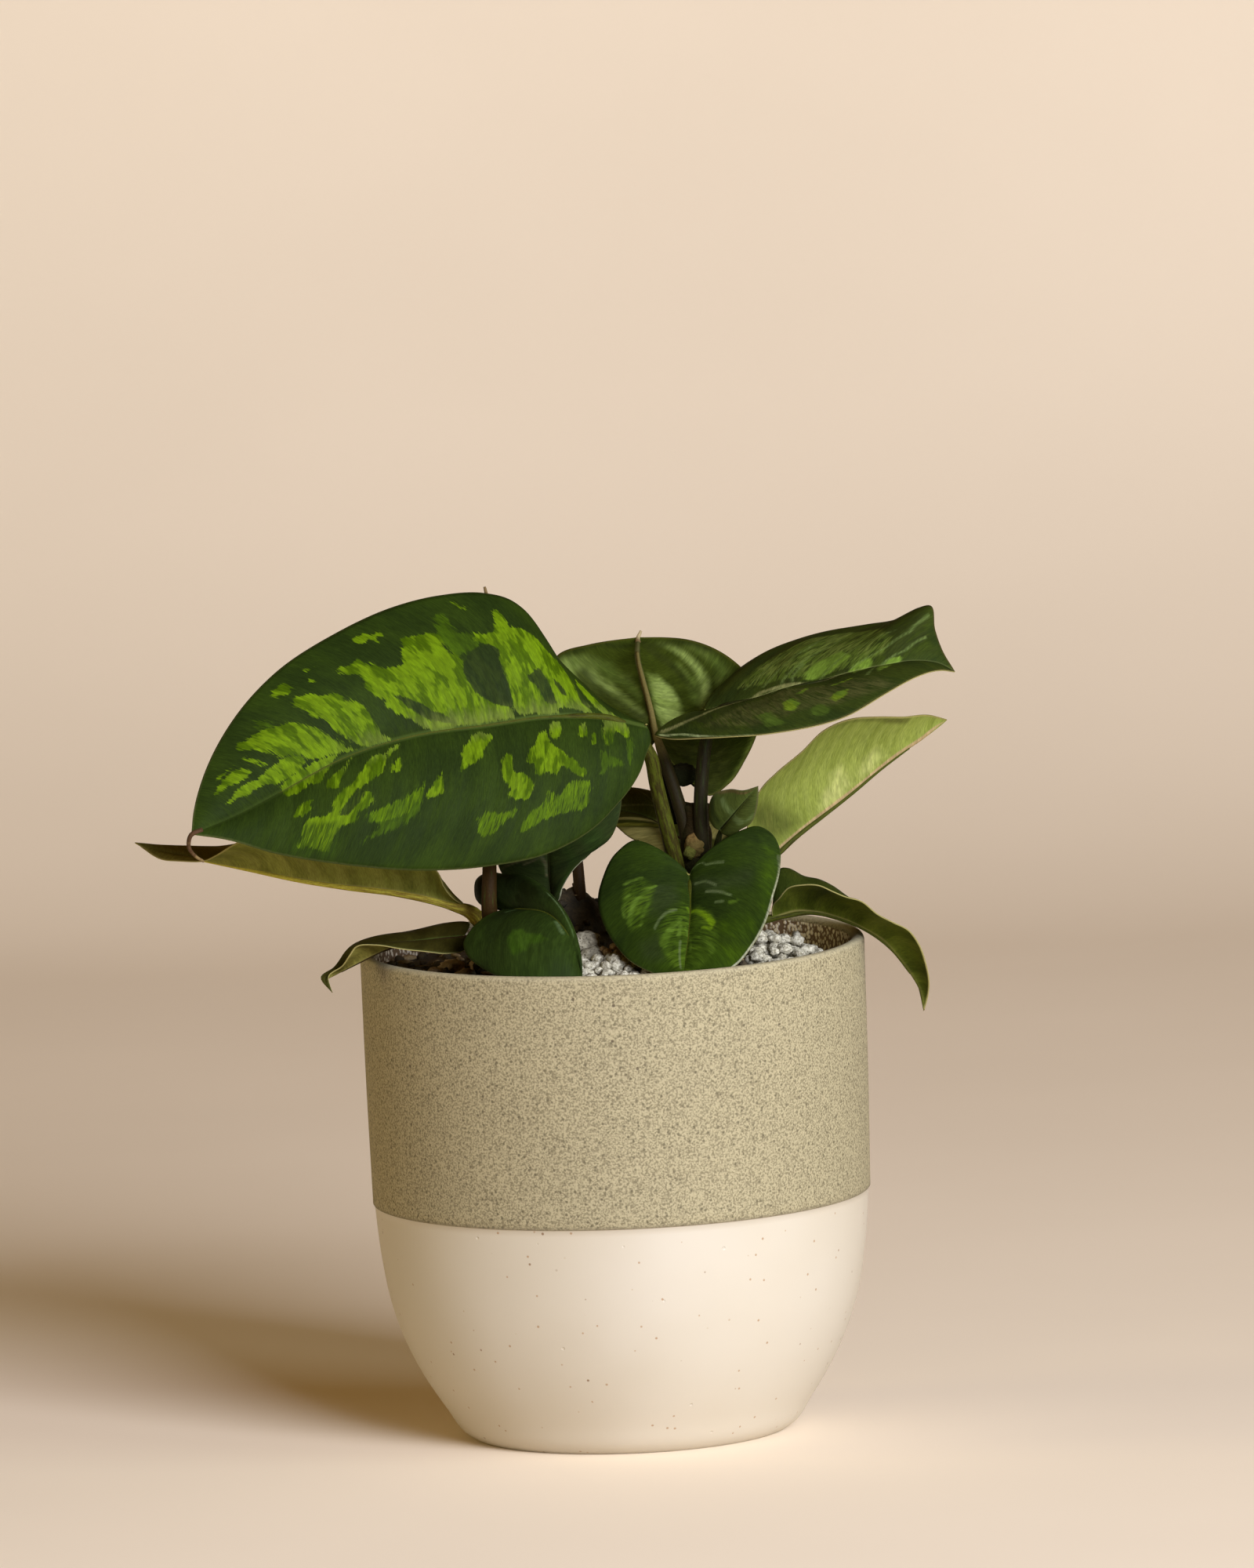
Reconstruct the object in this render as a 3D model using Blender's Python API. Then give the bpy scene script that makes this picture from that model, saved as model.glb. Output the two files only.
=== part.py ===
"""A potted homalomena: two-tone stoneware pot, soil, pebbles, two crowns and fourteen leaves.

Millimetres in this file, metres in the scene. X is right, Y is away from the viewer, Z is up.
The origin is the centre of the pot's flat underside.
"""
import math
import random

import bmesh
import bpy
import numpy as np

MM = 0.001

# pot
RIM_DIAMETER = 165.0
POT_HEIGHT = 161.0
BAND_HEIGHT = 78.0
BAND_STEP = 0.5
BAND_MIDDLE_RADIUS = 82.2
WALL = 4.5
FLOOR = 7.0
POT_SEGMENTS = 56
SOIL_SEGMENTS = 36

# gaps between neighbours, along a flat wall and round a faceted stem
FIT_GAP = 0.3
SEAT_GAP = 0.37

# plant
BLADE_THICKNESS = 0.8
VEIN_SWEEP = 0.10
STEM_SIDES = 6
STEM_STATIONS = 6
MIDRIB_SPAN = (0.05, 0.80)
TAIL_RADII = (0.9, 0.45)

# soil
SOIL_EDGE_HEIGHT = 152.0
SOIL_EDGE_TILT = 2.0
SOIL_MIDDLE_HEIGHT = 158.0
MOUND_HEIGHT = 20.0
MOUND_CENTRE = (-14.0, 10.0)
MOUND_RADIUS = 17.0

# spacing of neighbouring pebbles, in shares of their joined radii
CLOSEST = 0.56
FARTHEST = 0.70

# half profiles of the pot, (radius, height): outside up to the band, inside down to the floor
POT_BOWL = [
    (51.5, 0.0), (54.6, 2.0), (60.2, 10.0), (66.8, 20.5), (72.2, 31.5), (76.4, 44.0),
    (79.3, 60.0), (81.0, BAND_HEIGHT)]
POT_INSIDE = [
    (78.0, 150.0), (77.4, 112.0), (76.2, 76.0), (73.0, 52.0), (66.0, 29.0), (54.0, 12.5),
    (42.0, FLOOR), (0.0, FLOOR)]
SOIL_RINGS = [77.35, 68.0, 57.0, 46.0, 35.5, 26.0, 17.0, 8.5, 0.0]

LEAVES = {}

# large patterned leaf at the front left, upper face forward
LEAVES["leaf_front_left_large"] = {
    "rows": 20, "cols": 4, "lobe": 0.03, "bulge": [0.1, 0.1],
    "wave": [0.6, 3.0, 0.4], "stem_radii": [2.7, 2.3, 0.6], "calm": 0.0,
    "midrib": [
        (14, -30, 235.5), (0, -33, 239), (-17.5, -37, 240.5), (-38, -41, 239), (-58.5, -45, 237.5),
        (-84, -51, 231.5), (-104.5, -56, 222), (-120, -60, 215), (-134.5, -64, 210),],
    "right": [
        (9, -21, 235.5), (4.5, -19, 237.5), (-2, -18, 242), (-9, -17, 250.5), (-16.5, -17, 260.5),
        (-19.5, -17, 266.5), (-23, -17, 272), (-29, -18, 277), (-37, -20, 279.5), (-52, -22, 279.5),
        (-67, -26, 277), (-88, -34, 269), (-106, -42, 258.5), (-119, -49, 246), (-129.5, -56, 229),
        (-133.5, -61, 217),],
    "left": [
        (15, -31, 230.5), (13.5, -33, 227), (11, -37, 221), (7, -41, 215.5), (3.5, -44, 212),
        (-4, -49, 205.5), (-19.5, -54, 198), (-40, -58, 195), (-57.5, -61, 195), (-88, -64, 198.5),
        (-108, -65, 203), (-123, -65, 208),],
    "stem": [
        (22.5, -9, 183), (21, -15, 192.5), (18.5, -18, 204.5), (16.5, -21, 215), (15, -25, 224.5),],
    "tail": [
        (-135.5, -63, 206), (-133.5, -61, 202.5), (-131, -59, 200.5),],
}

# pale upright leaf at the back, underside forward, with a dry tip
LEAVES["leaf_back_upright"] = {
    "rows": 10, "cols": 3, "lobe": 0.2, "bulge": [0.12, 0.12],
    "wave": [0.5, 2.0, 0.0], "stem_radii": [2.5, 2.0, 0.6], "calm": 0.3,
    "midrib": [
        (17, 2, 227), (15.5, 10, 236), (13.5, 20, 244), (12, 31, 251), (12.5, 42, 256),],
    "right": [
        (10.5, 0, 221), (1, 2, 219.5), (-9.5, 8, 224), (-16.5, 16, 234), (-18, 24, 243.5),
        (-14, 33, 252.5), (-4, 38, 254.5), (5.5, 41, 255.5),],
    "left": [
        (22, 0, 219.5), (29.5, 0, 211.5), (33.5, 1, 208), (40, 4, 211), (46, 9, 218.5), (50, 14, 226),
        (51.5, 21, 234.5), (49.5, 28, 242), (46, 33, 246), (37.5, 39, 251.5), (28.5, 42, 254.5),
        (20.5, 43, 255.5),],
    "stem": [
        (26.5, -4, 187), (25.5, -5, 197.5), (23, -5, 208.5), (20, -3, 219),],
    "tail": [
        (13.5, 43, 258),],
}

# long leaf at the upper right, reaching sideways
LEAVES["leaf_right_top"] = {
    "rows": 13, "cols": 4, "lobe": 0.2, "bulge": [0.08, 0.05],
    "wave": [0.7, 2.5, 1.0], "stem_radii": [2.5, 2.1, 0.6], "calm": 0.0,
    "midrib": [
        (33, -6, 236.5), (43, -8, 239), (51.5, -9, 241), (60, -8, 243.5), (69, -7, 244.5),
        (80, -5, 247), (91.5, -1, 248.5), (102, 4, 249), (109.5, 8, 247.5), (115.5, 9, 244.5),],
    "right": [
        (28, -9, 235), (22.5, -14.5, 233.5), (18.5, -18.5, 232.5), (16.5, -22, 231.5), (20, -27, 231),
        (31.5, -34, 231.5), (40.5, -37, 231.5), (49.5, -39, 231.5), (63, -39, 233), (77, -36, 236.5),
        (91, -29, 242.5), (102, -18, 246), (110.5, -3, 246.5),],
    "left": [
        (35, 2, 237.5), (35.5, 8, 238.5), (38.5, 16, 240.5), (41.5, 22, 243), (46, 29, 246.5),
        (54, 35, 250), (64.5, 38, 253), (75.5, 39, 256), (88, 37, 258.5), (97.5, 33, 260),
        (104.5, 28, 263.5), (108.5, 24, 264.5), (109.5, 17, 257.5), (112, 12, 250.5),],
    "stem": [
        (31, -6.5, 185), (30.5, -9, 197.5), (31, -9.5, 212), (33, -8, 226),],
}

# pale leaf at the right, seen from its underside
LEAVES["leaf_right_middle"] = {
    "rows": 11, "cols": 3, "lobe": 0.16, "bulge": [0.1, 0.08],
    "wave": [0.6, 2.0, 0.5], "stem_radii": [2.3, 1.9, 0.5], "calm": 0.0,
    "midrib": [
        (49.5, 4, 183.5), (55.5, 6, 188.5), (66.5, 10, 196.5), (76, 13, 202.5), (85, 16, 209),
        (95, 19, 216), (105, 22, 222), (112.5, 25, 227),],
    "right": [
        (46.5, 0, 187), (45.5, -4, 195), (47.5, -7, 204.5), (50.5, -8, 211), (56, -9, 216.5),
        (64.5, -8, 222.5), (71.5, -5, 228), (80, 0, 231), (90.5, 7, 231), (98.5, 13, 230),
        (106, 19, 229.5),],
    "left": [
        (53, 16, 183.5), (58, 30, 193), (66, 38, 203), (77, 42, 211.5), (87.5, 42, 217.5),
        (97.5, 38, 222.5), (106.5, 31, 226),],
    "stem": [
        (30.5, -1, 182), (35, 3, 182.5), (40.5, 4, 181), (45.5, 4, 181),],
}

# small dark young leaf between the stems and the pale leaf
LEAVES["leaf_small_dark"] = {
    "rows": 7, "cols": 2, "lobe": 0.18, "bulge": [0.12, 0.12],
    "wave": [0.3, 1.0, 0.0], "stem_radii": [1.6, 1.3, 0.4], "calm": 0.0,
    "midrib": [
        (36.5, -16, 198.5), (40.5, -21, 203.5), (45.5, -25, 209.5), (49.5, -27, 214),],
    "right": [
        (40.5, -20, 197), (43.5, -23, 199.5), (46.5, -25, 201.5), (49, -27, 208), (49.5, -27, 211.5),],
    "left": [
        (34, -15, 201), (33.5, -16, 206), (35, -18, 210.5), (40, -21, 212.5), (45, -25, 212.5),],
    "stem": [
        (32, -5, 179), (35, -11, 186.5), (35.5, -13.5, 192.5),],
}

# heart-shaped leaf at the front, its tip inside the pot
LEAVES["leaf_front_heart"] = {
    "rows": 12, "cols": 3, "lobe": 0.3, "bulge": [0.1, 0.1],
    "wave": [0.5, 2.0, 0.0], "stem_radii": [2.0, 1.7, 0.5], "calm": 0.0,
    "midrib": [
        (26, -24, 185.5), (26, -32, 177.5), (25, -44, 169), (23.5, -56, 161.5), (22.5, -65, 156.5),],
    "right": [
        (22, -22, 188), (18.5, -20, 191), (14.5, -19, 193.5), (9, -18, 196.5), (2.5, -20, 193),
        (-2.5, -26, 185), (-4, -32, 179.5), (-2.5, -40, 172), (1, -48, 166.5), (6, -56, 162),
        (13.5, -61, 158.5),],
    "left": [
        (32, -23, 190), (38, -23, 195.5), (43.5, -24, 199), (49, -25, 200.5), (53.5, -27, 198),
        (55.5, -29, 194), (55.5, -32, 188), (53, -38, 179), (50, -45, 171), (45, -53, 164.5),
        (39, -60, 159.5), (29.5, -64, 156.5),],
    "stem": [
        (26, -9, 176.5), (26.5, -16, 180), (26.5, -21, 183),],
}

# small cupped leaf at the front left, its tip inside the pot
LEAVES["leaf_front_left_small"] = {
    "rows": 11, "cols": 3, "lobe": 0.2, "bulge": [0.14, 0.14],
    "wave": [0.4, 2.0, 0.0], "stem_radii": [1.9, 1.6, 0.5], "calm": 0.3,
    "midrib": [
        (-33.5, -35, 177.5), (-28.5, -41, 178.5), (-20, -49, 177.5), (-14, -57, 171.5),
        (-10, -64, 158),],
    "right": [
        (-39, -39, 176), (-45, -45, 172.5), (-48, -48, 169.5), (-47.5, -52, 166.5), (-43, -58, 162.5),
        (-33.5, -65, 158.5), (-21, -68, 157), (-12, -66, 156.5),],
    "left": [
        (-37, -28, 177), (-41, -21, 177), (-44, -14, 180.5), (-43.5, -13, 185), (-40, -14, 187.5),
        (-35, -18, 187.5), (-30, -24, 188), (-24.5, -33, 186.5), (-19, -41, 182.5), (-14, -50, 176.5),
        (-11, -57, 169.5), (-10, -62, 163),],
    "stem": [
        (-34.5, -27, 163), (-34, -31, 168), (-34.5, -34, 173),],
}

# dark leaf standing behind the large one
LEAVES["leaf_under_left"] = {
    "rows": 11, "cols": 3, "lobe": 0.12, "bulge": [0.1, 0.06],
    "wave": [0.4, 2.0, 0.0], "stem_radii": [2.1, 1.8, 0.5], "calm": 0.0,
    "midrib": [
        (-19, -14, 177), (-19.5, -13, 184.5), (-19.5, -16, 195.5), (-17.5, -18, 208.5),
        (-13, -19, 218.5), (-7.5, -19, 225.5),],
    "right": [
        (-17, -16, 177.5), (-15, -18, 182.5), (-11.5, -20, 188), (-5.5, -21, 193.5), (1, -22, 198.5),
        (3.5, -22, 203.5), (5, -21, 213), (3.5, -20, 220.5), (-1.5, -19.5, 225),],
    "left": [
        (-21, -12, 176.5), (-24, -9, 177.5), (-29, -6, 180.5), (-33.5, -4, 183.5), (-36, -5, 188),
        (-36, -9, 193), (-34, -14, 199.5), (-29.5, -19, 207), (-23.5, -21, 215), (-17, -21, 222),
        (-11.5, -20, 225.5),],
    "stem": [
        (-36, -18, 165.5), (-32, -16, 168.5), (-26.5, -15, 171.5), (-22.5, -14, 174),],
}

# long rolled leaf at the left, behind the large one
LEAVES["leaf_left_low"] = {
    "rows": 14, "cols": 3, "lobe": 0.03, "bulge": [0.08, 0.08],
    "wave": [0.6, 2.5, 0.0], "stem_radii": [2.6, 2.6, 0.6], "calm": 0.0,
    "midrib": [
        (-47.5, -17, 177), (-60.5, -17, 181), (-72.5, -16, 183.5), (-88.5, -14, 185.5),
        (-100.5, -12, 187.5), (-112.5, -9, 190), (-127, -6, 193), (-137, -3, 195), (-146, -1, 197),
        (-154.5, 0, 200),],
    "right": [
        (-51.5, -8, 180), (-56, 0, 185), (-64, 10, 189), (-78.5, 18, 192), (-96.5, 22, 195),
        (-114.5, 20, 197), (-128.5, 14, 196), (-138, 8, 197), (-147.5, 3, 198.5),],
    "left": [
        (-51.5, -22, 180.5), (-54, -26, 184.5), (-56, -31, 190.5), (-62.5, -36, 196),
        (-75.5, -39, 200.5), (-90.5, -39, 204), (-105.5, -35, 205.5), (-116, -30, 204.5),
        (-122, -25, 201.5), (-128, -17, 197), (-132, -12, 194.5), (-140, -7, 194), (-146, -4, 194.5),],
    "stem": [
        (-41, -17, 165.5), (-42, -17, 170.5), (-44.5, -17, 174),],
}

# leaf draping over the left of the rim
LEAVES["leaf_left_bottom"] = {
    "rows": 12, "cols": 3, "lobe": 0.03, "bulge": [0.06, 0.06],
    "wave": [0.4, 2.0, 0.0], "stem_radii": [1.9, 1.6, 0.5], "calm": 0.0,
    "midrib": [
        (-48, -28, 168.5), (-61.5, -30, 168), (-71.5, -32, 167), (-78, -33, 164.5),
        (-84.5, -34, 161.5), (-90, -35, 159), (-93.5, -36, 157), (-91.5, -37, 153),],
    "right": [
        (-46.5, -18, 171.5), (-54, -12, 171), (-65.5, -8, 168.5), (-73.5, -8, 167), (-81.5, -12, 166),
        (-84.5, -18, 165.5), (-87, -25, 164.5), (-91, -32, 160.5), (-95, -35, 158),],
    "left": [
        (-48, -36, 165), (-53.5, -42, 165), (-61.5, -46, 167), (-69, -47, 168), (-77, -46, 169),
        (-83, -44, 168.5), (-85.5, -42, 165.5), (-88, -39, 162), (-92.5, -37, 158.5),],
    "stem": [
        (-43.5, -22, 160), (-44, -25, 164), (-45.5, -27, 167),],
}

# narrow leaf draping over the right of the rim
LEAVES["leaf_right_bottom"] = {
    "rows": 14, "cols": 3, "lobe": 0.03, "bulge": [0.08, 0.08],
    "wave": [0.5, 2.0, 0.0], "stem_radii": [2.1, 1.8, 0.5], "calm": 0.0,
    "midrib": [
        (52.5, -15, 169), (60, -14, 171), (66, -13, 170.5), (74.5, -12, 168), (82.5, -11, 164),
        (89, -11, 159.5), (93, -11, 154.5), (97.5, -11, 148), (100, -11, 143), (101, -11, 136),],
    "right": [
        (53, -21, 174), (55, -25, 176.5), (58.5, -29, 180.5), (62.5, -31, 181.5), (68, -32, 181.5),
        (72.5, -32, 179.5), (76.5, -31, 177.5), (81.5, -30, 175.5), (87, -28, 170), (91.5, -26, 167),
        (96.5, -24, 164), (100, -22, 159), (102, -19, 153), (103, -16, 146.5), (102.5, -13, 141.5),],
    "left": [
        (53.5, -7, 176), (54.5, -1, 180), (56, 4, 182.5), (59, 8, 182), (64, 12, 179), (69, 14, 177.5),
        (73, 15, 175), (77.5, 15, 171), (83.5, 13, 166.5), (89.5, 9, 160), (94.5, 4, 154.5),
        (98.5, -4, 147.5),],
    "stem": [
        (31.5, -8, 174.5), (35.5, -12, 172), (41, -14, 169.5), (47, -15, 168.5),],
}

# low leaf at the back, seen between the stems
LEAVES["leaf_back_low"] = {
    "rows": 10, "cols": 3, "lobe": 0.22, "bulge": [0.1, 0.1],
    "wave": [0.5, 2.0, 0.0], "stem_radii": [2.0, 1.7, 0.5], "calm": 0.0,
    "midrib": [
        (26.5, 10, 189.5), (21.5, 17, 194), (14, 25, 198), (6.5, 33, 199.5), (-1, 40, 200),
        (-7.5, 46, 200),],
    "right": [
        (33, 12, 187.5), (39.5, 16, 190), (39.5, 22, 196), (33.5, 29, 200.5), (25, 36, 202),
        (16.5, 43, 204), (7, 50, 205.5), (-1, 54, 204.5), (-5.5, 52, 202),],
    "left": [
        (24, 6, 186), (18.5, 9, 186), (12, 14, 191), (6.5, 18, 193.5), (2.5, 24, 196), (-1.5, 32, 197),
        (-5.5, 40, 198.5),],
    "stem": [
        (26, 1, 181.5), (26, 5, 184), (26, 8, 187),],
}

# upright leaf mostly hidden behind the large one, only its tip shows
LEAVES["leaf_hidden_upright"] = {
    "rows": 10, "cols": 3, "lobe": 0.2, "bulge": [0.1, 0.1],
    "wave": [0.6, 2.0, 0.0], "stem_radii": [3.0, 2.0, 0.6], "calm": 0.0,
    "midrib": [
        (-37, -5, 203.5), (-36, 2, 219.5), (-35, 6, 238.5), (-35.5, 4, 259), (-36.5, 0, 274),],
    "right": [
        (-32, -4, 198.5), (-24, 2, 199.5), (-17.5, 8, 209), (-15.5, 12, 221.5), (-16.5, 13, 237),
        (-20, 10, 252), (-27.5, 4, 266.5),],
    "left": [
        (-42.5, -4, 198.5), (-52.5, 0, 199.5), (-61, 6, 208.5), (-63, 10, 222), (-60, 12, 238.5),
        (-53, 9, 254), (-44, 4, 267.5),],
    "stem": [
        (-38, -22, 164), (-38.5, -27, 169), (-39.5, -33, 176.5), (-39, -34, 184.5), (-39, -32, 191.5),
        (-37.5, -19, 198),],
    "tail": [
        (-36.5, 0, 276.5), (-37, 0, 279.5),],
}

# leaf at the back left, supposed from its stem
LEAVES["leaf_back_left"] = {
    "rows": 10, "cols": 3, "lobe": 0.2, "bulge": [0.1, 0.1],
    "wave": [0.6, 2.0, 0.0], "stem_radii": [2.0, 1.8, 0.5], "calm": 0.0,
    "midrib": [
        (-12, 22, 200.5), (-21.5, 36, 209), (-34, 52, 217), (-46.5, 67, 222.5), (-58.5, 80, 224.5),],
    "right": [
        (-8, 34, 203.5), (-11.5, 48, 211.5), (-20.5, 64, 219), (-31, 78, 225), (-42.5, 86, 228),
        (-52.5, 87, 227.5),],
    "left": [
        (-16, 16, 197.5), (-24.5, 22, 199), (-34.5, 34, 205), (-44.5, 48, 211.5), (-53.5, 64, 218),],
    "stem": [
        (-9.5, 6, 170), (-10, 7, 181), (-10.5, 10, 189), (-11.5, 15, 195.5),],
}


def clear_scene():
    """Remove whatever the opened file holds."""
    for item in list(bpy.data.objects):
        bpy.data.objects.remove(item, do_unlink=True)


def plain_material(name, colour, roughness):
    """A plain surface of its own for one sub-part."""
    surface = bpy.data.materials.new(name)
    surface.use_nodes = True
    shader = surface.node_tree.nodes["Principled BSDF"]
    shader.inputs["Base Color"].default_value = (*colour, 1.0)
    shader.inputs["Roughness"].default_value = roughness
    shader.inputs["Metallic"].default_value = 0.0
    return surface


def solid(name, points, faces):
    """An object from points in millimetres."""
    mesh = bpy.data.meshes.new(name)
    mesh.from_pydata([tuple(float(v) * MM for v in p) for p in points], [], faces)
    mesh.validate()
    made = bpy.data.objects.new(name, mesh)
    bpy.context.scene.collection.objects.link(made)
    return made


def boolean(target, tool, operation, keep_tool=False):
    """Join or cut with the exact solver and keep the result as plain faces."""
    step = target.modifiers.new(operation.lower(), "BOOLEAN")
    step.operation = operation
    step.solver = "EXACT"
    step.object = tool
    graph = bpy.context.evaluated_depsgraph_get()
    result = bpy.data.meshes.new_from_object(target.evaluated_get(graph))
    target.modifiers.clear()
    target.data = result
    if not keep_tool:
        bpy.data.objects.remove(tool, do_unlink=True)


def curve(points, fractions):
    """Points of a smooth curve through the given ones, at fractions of its length."""
    p = np.array(points, dtype=float)
    p = np.vstack([2 * p[0] - p[1], p, 2 * p[-1] - p[-2]])
    dense = []
    for i in range(1, len(p) - 2):
        gaps = [max(np.linalg.norm(p[i + k] - p[i + k - 1]), 1e-6) for k in range(3)]
        before = (p[i] - p[i - 1]) / gaps[0]
        chord = (p[i + 1] - p[i]) / gaps[1]
        after = (p[i + 2] - p[i + 1]) / gaps[2]
        start = (before * gaps[1] + chord * gaps[0]) / (gaps[0] + gaps[1]) * gaps[1]
        end = (chord * gaps[2] + after * gaps[1]) / (gaps[1] + gaps[2]) * gaps[1]
        for t in np.linspace(0.0, 1.0, 16, endpoint=False):
            dense.append((2 * t**3 - 3 * t**2 + 1) * p[i] + (t**3 - 2 * t**2 + t) * start
                         + (3 * t**2 - 2 * t**3) * p[i + 1] + (t**3 - t**2) * end)
    dense.append(p[-2])
    dense = np.array(dense)
    run = np.concatenate([[0.0], np.cumsum(np.linalg.norm(np.diff(dense, axis=0), axis=1))])
    wanted = np.asarray(fractions) * run[-1]
    return np.stack([np.interp(wanted, run, dense[:, k]) for k in range(3)], axis=1)


def unit(v):
    """Vectors at length one."""
    return v / np.maximum(np.linalg.norm(v, axis=-1, keepdims=True), 1e-9)


def blade_halves(leaf):
    """The right and left half of a blade as grids of points, and the midrib's normals.

    Each row follows a lateral vein from the midrib out to the margin.
    """
    rows = leaf["rows"]
    steps = np.linspace(0.0, 1.0, rows + 1)
    along = np.clip((steps - leaf["lobe"]) / (1.0 - leaf["lobe"]), 0.0, 1.0) ** 1.15
    centre = curve(leaf["midrib"], along)
    ahead = unit(curve(leaf["midrib"], np.minimum(along + 0.03, 1.0))
                 - curve(leaf["midrib"], np.maximum(along - 0.03, 0.0)))
    grids = []
    normals = []
    for side, sign, bulge in (("right", 1.0, leaf["bulge"][0]), ("left", -1.0, leaf["bulge"][1])):
        ends = [leaf["midrib"][0]] + leaf[side] + [leaf["midrib"][-1]]
        margin = curve(ends, steps)
        across = margin - centre
        reach = np.linalg.norm(across, axis=1)
        up = sign * np.cross(across, ahead)
        good = np.linalg.norm(up, axis=1) > 0.4 * np.maximum(reach, 1.0)
        up = unit(up)
        known = np.flatnonzero(good)
        up = unit(np.stack([np.interp(np.arange(rows + 1), known, up[known, k]) for k in range(3)], axis=1))
        size, turns, start = leaf["wave"]
        ripple = size * np.sin(2 * math.pi * turns * steps + start) * np.sin(math.pi * steps)
        sweep = VEIN_SWEEP * np.clip(along / 0.35, 0.0, 1.0)
        fade = np.clip(steps / max(leaf["calm"], 1e-6), 0.0, 1.0)
        swell = bulge * fade
        ripple = ripple * fade
        grid = []
        for t in np.linspace(0.0, 1.0, leaf["cols"] + 1):
            arch = 4 * t * (1 - t)
            grid.append(centre + across * t - ahead * (reach * sweep * arch)[:, None]
                        + up * (reach * swell * arch + ripple * t * t)[:, None])
        grids.append(np.stack(grid, axis=1))
        normals.append(up)
    return grids, unit(normals[0] + normals[1])


def blade_solid(name, leaf, thickness=BLADE_THICKNESS):
    """A closed thin blade with both faces divided alike."""
    grids, _ = blade_halves(leaf)
    index = {}
    points = []

    def number(p):
        """One number for every point that coincides."""
        key = tuple(np.round(p, 3))
        if key not in index:
            index[key] = len(points)
            points.append(p)
        return index[key]

    faces = []
    for grid, flip in ((grids[0], False), (grids[1], True)):
        rows, cols = grid.shape[0] - 1, grid.shape[1] - 1
        ids = [[number(grid[i, j]) for j in range(cols + 1)] for i in range(rows + 1)]
        for i in range(rows):
            for j in range(cols):
                a, b, c, d = ids[i][j], ids[i][j + 1], ids[i + 1][j + 1], ids[i + 1][j]
                if flip:
                    a, b, c, d = a, d, c, b
                short = np.linalg.norm(points[a] - points[c]) <= np.linalg.norm(points[b] - points[d])
                pair = [(a, b, c), (a, c, d)] if short else [(a, b, d), (b, c, d)]
                faces += [f for f in pair if len(set(f)) == 3]
    points = np.array(points)
    corners = points[np.array(faces)]
    facing = np.cross(corners[:, 1] - corners[:, 0], corners[:, 2] - corners[:, 0])
    normal = np.zeros_like(points)
    for k in range(3):
        np.add.at(normal, np.array(faces)[:, k], facing)
    normal = unit(normal)
    count = len(points)
    both = np.vstack([points + normal * thickness / 2, points - normal * thickness / 2])
    skin = list(faces) + [(c + count, b + count, a + count) for a, b, c in faces]
    directed = {(f[k], f[(k + 1) % 3]) for f in faces for k in range(3)}
    for u, v in sorted(directed):
        if (v, u) not in directed:
            skin += [(v, u, u + count), (v, u + count, v + count)]
    return solid(name, both, skin)


def tube_solid(name, points, radii, sides=STEM_SIDES):
    """A closed round stem through the points, with a radius at each."""
    p = np.array(points, dtype=float)
    ahead = unit(np.gradient(p, axis=0))
    side = unit(np.cross(ahead[0], (0.0, 1.0, 0.25)))
    ring = []
    for i in range(len(p)):
        side = unit(side - ahead[i] * np.dot(side, ahead[i]))
        other = np.cross(ahead[i], side)
        for k in range(sides):
            a = 2 * math.pi * k / sides
            ring.append(p[i] + radii[i] * (math.cos(a) * side + math.sin(a) * other))
    faces = []
    for i in range(len(p) - 1):
        for k in range(sides):
            n = (k + 1) % sides
            faces.append((i * sides + k, i * sides + n, (i + 1) * sides + n, (i + 1) * sides + k))
    faces.append(tuple(reversed(range(sides))))
    faces.append(tuple(range((len(p) - 1) * sides, len(p) * sides)))
    return solid(name, ring, faces)


def stem_path(leaf, grow=0.0):
    """The stem from the crown to the blade and on along the midrib's underside."""
    base, neck, end = leaf["stem_radii"]
    start = curve(leaf["stem"], np.linspace(0.0, 1.0, STEM_STATIONS))
    _, normals = blade_halves(leaf)
    marks = np.linspace(*MIDRIB_SPAN, STEM_STATIONS)
    rows = leaf["rows"]
    spots = curve(leaf["midrib"], marks)
    steps = np.linspace(0.0, 1.0, rows + 1)
    along = np.clip((steps - leaf["lobe"]) / (1.0 - leaf["lobe"]), 0.0, 1.0) ** 1.15
    first = int(np.flatnonzero(along <= 0.0)[-1])
    up = unit(np.stack([np.interp(marks, along[first:], normals[first:, k]) for k in range(3)], axis=1))
    thick = np.linspace(neck * 0.5, end * 0.8, len(marks))
    spots = spots - up * np.maximum(thick - 0.2, 0.1)[:, None]
    path = np.vstack([start, spots])
    radii = np.concatenate([np.linspace(base, neck, len(start)), thick]) + grow
    return path, radii


def make_leaf(name, leaf):
    """One leaf: blade, stem and midrib joined."""
    made = blade_solid(name, leaf)
    path, radii = stem_path(leaf)
    boolean(made, tube_solid(name + "_stem", path, radii), "UNION")
    if "tail" in leaf:
        ends = [leaf["midrib"][-2], leaf["midrib"][-1]] + leaf["tail"]
        ends[0] = tuple(np.array(ends[1]) * 0.75 + np.array(ends[0]) * 0.25)
        tail = curve(ends, np.linspace(0.0, 1.0, len(ends) + 2))
        boolean(made, tube_solid(name + "_tail", tail, np.linspace(*TAIL_RADII, len(tail)), 5), "UNION")
    made.data.materials.clear()
    made.data.materials.append(plain_material(name + "_green", (0.05, 0.14, 0.04), 0.45))
    return made


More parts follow.
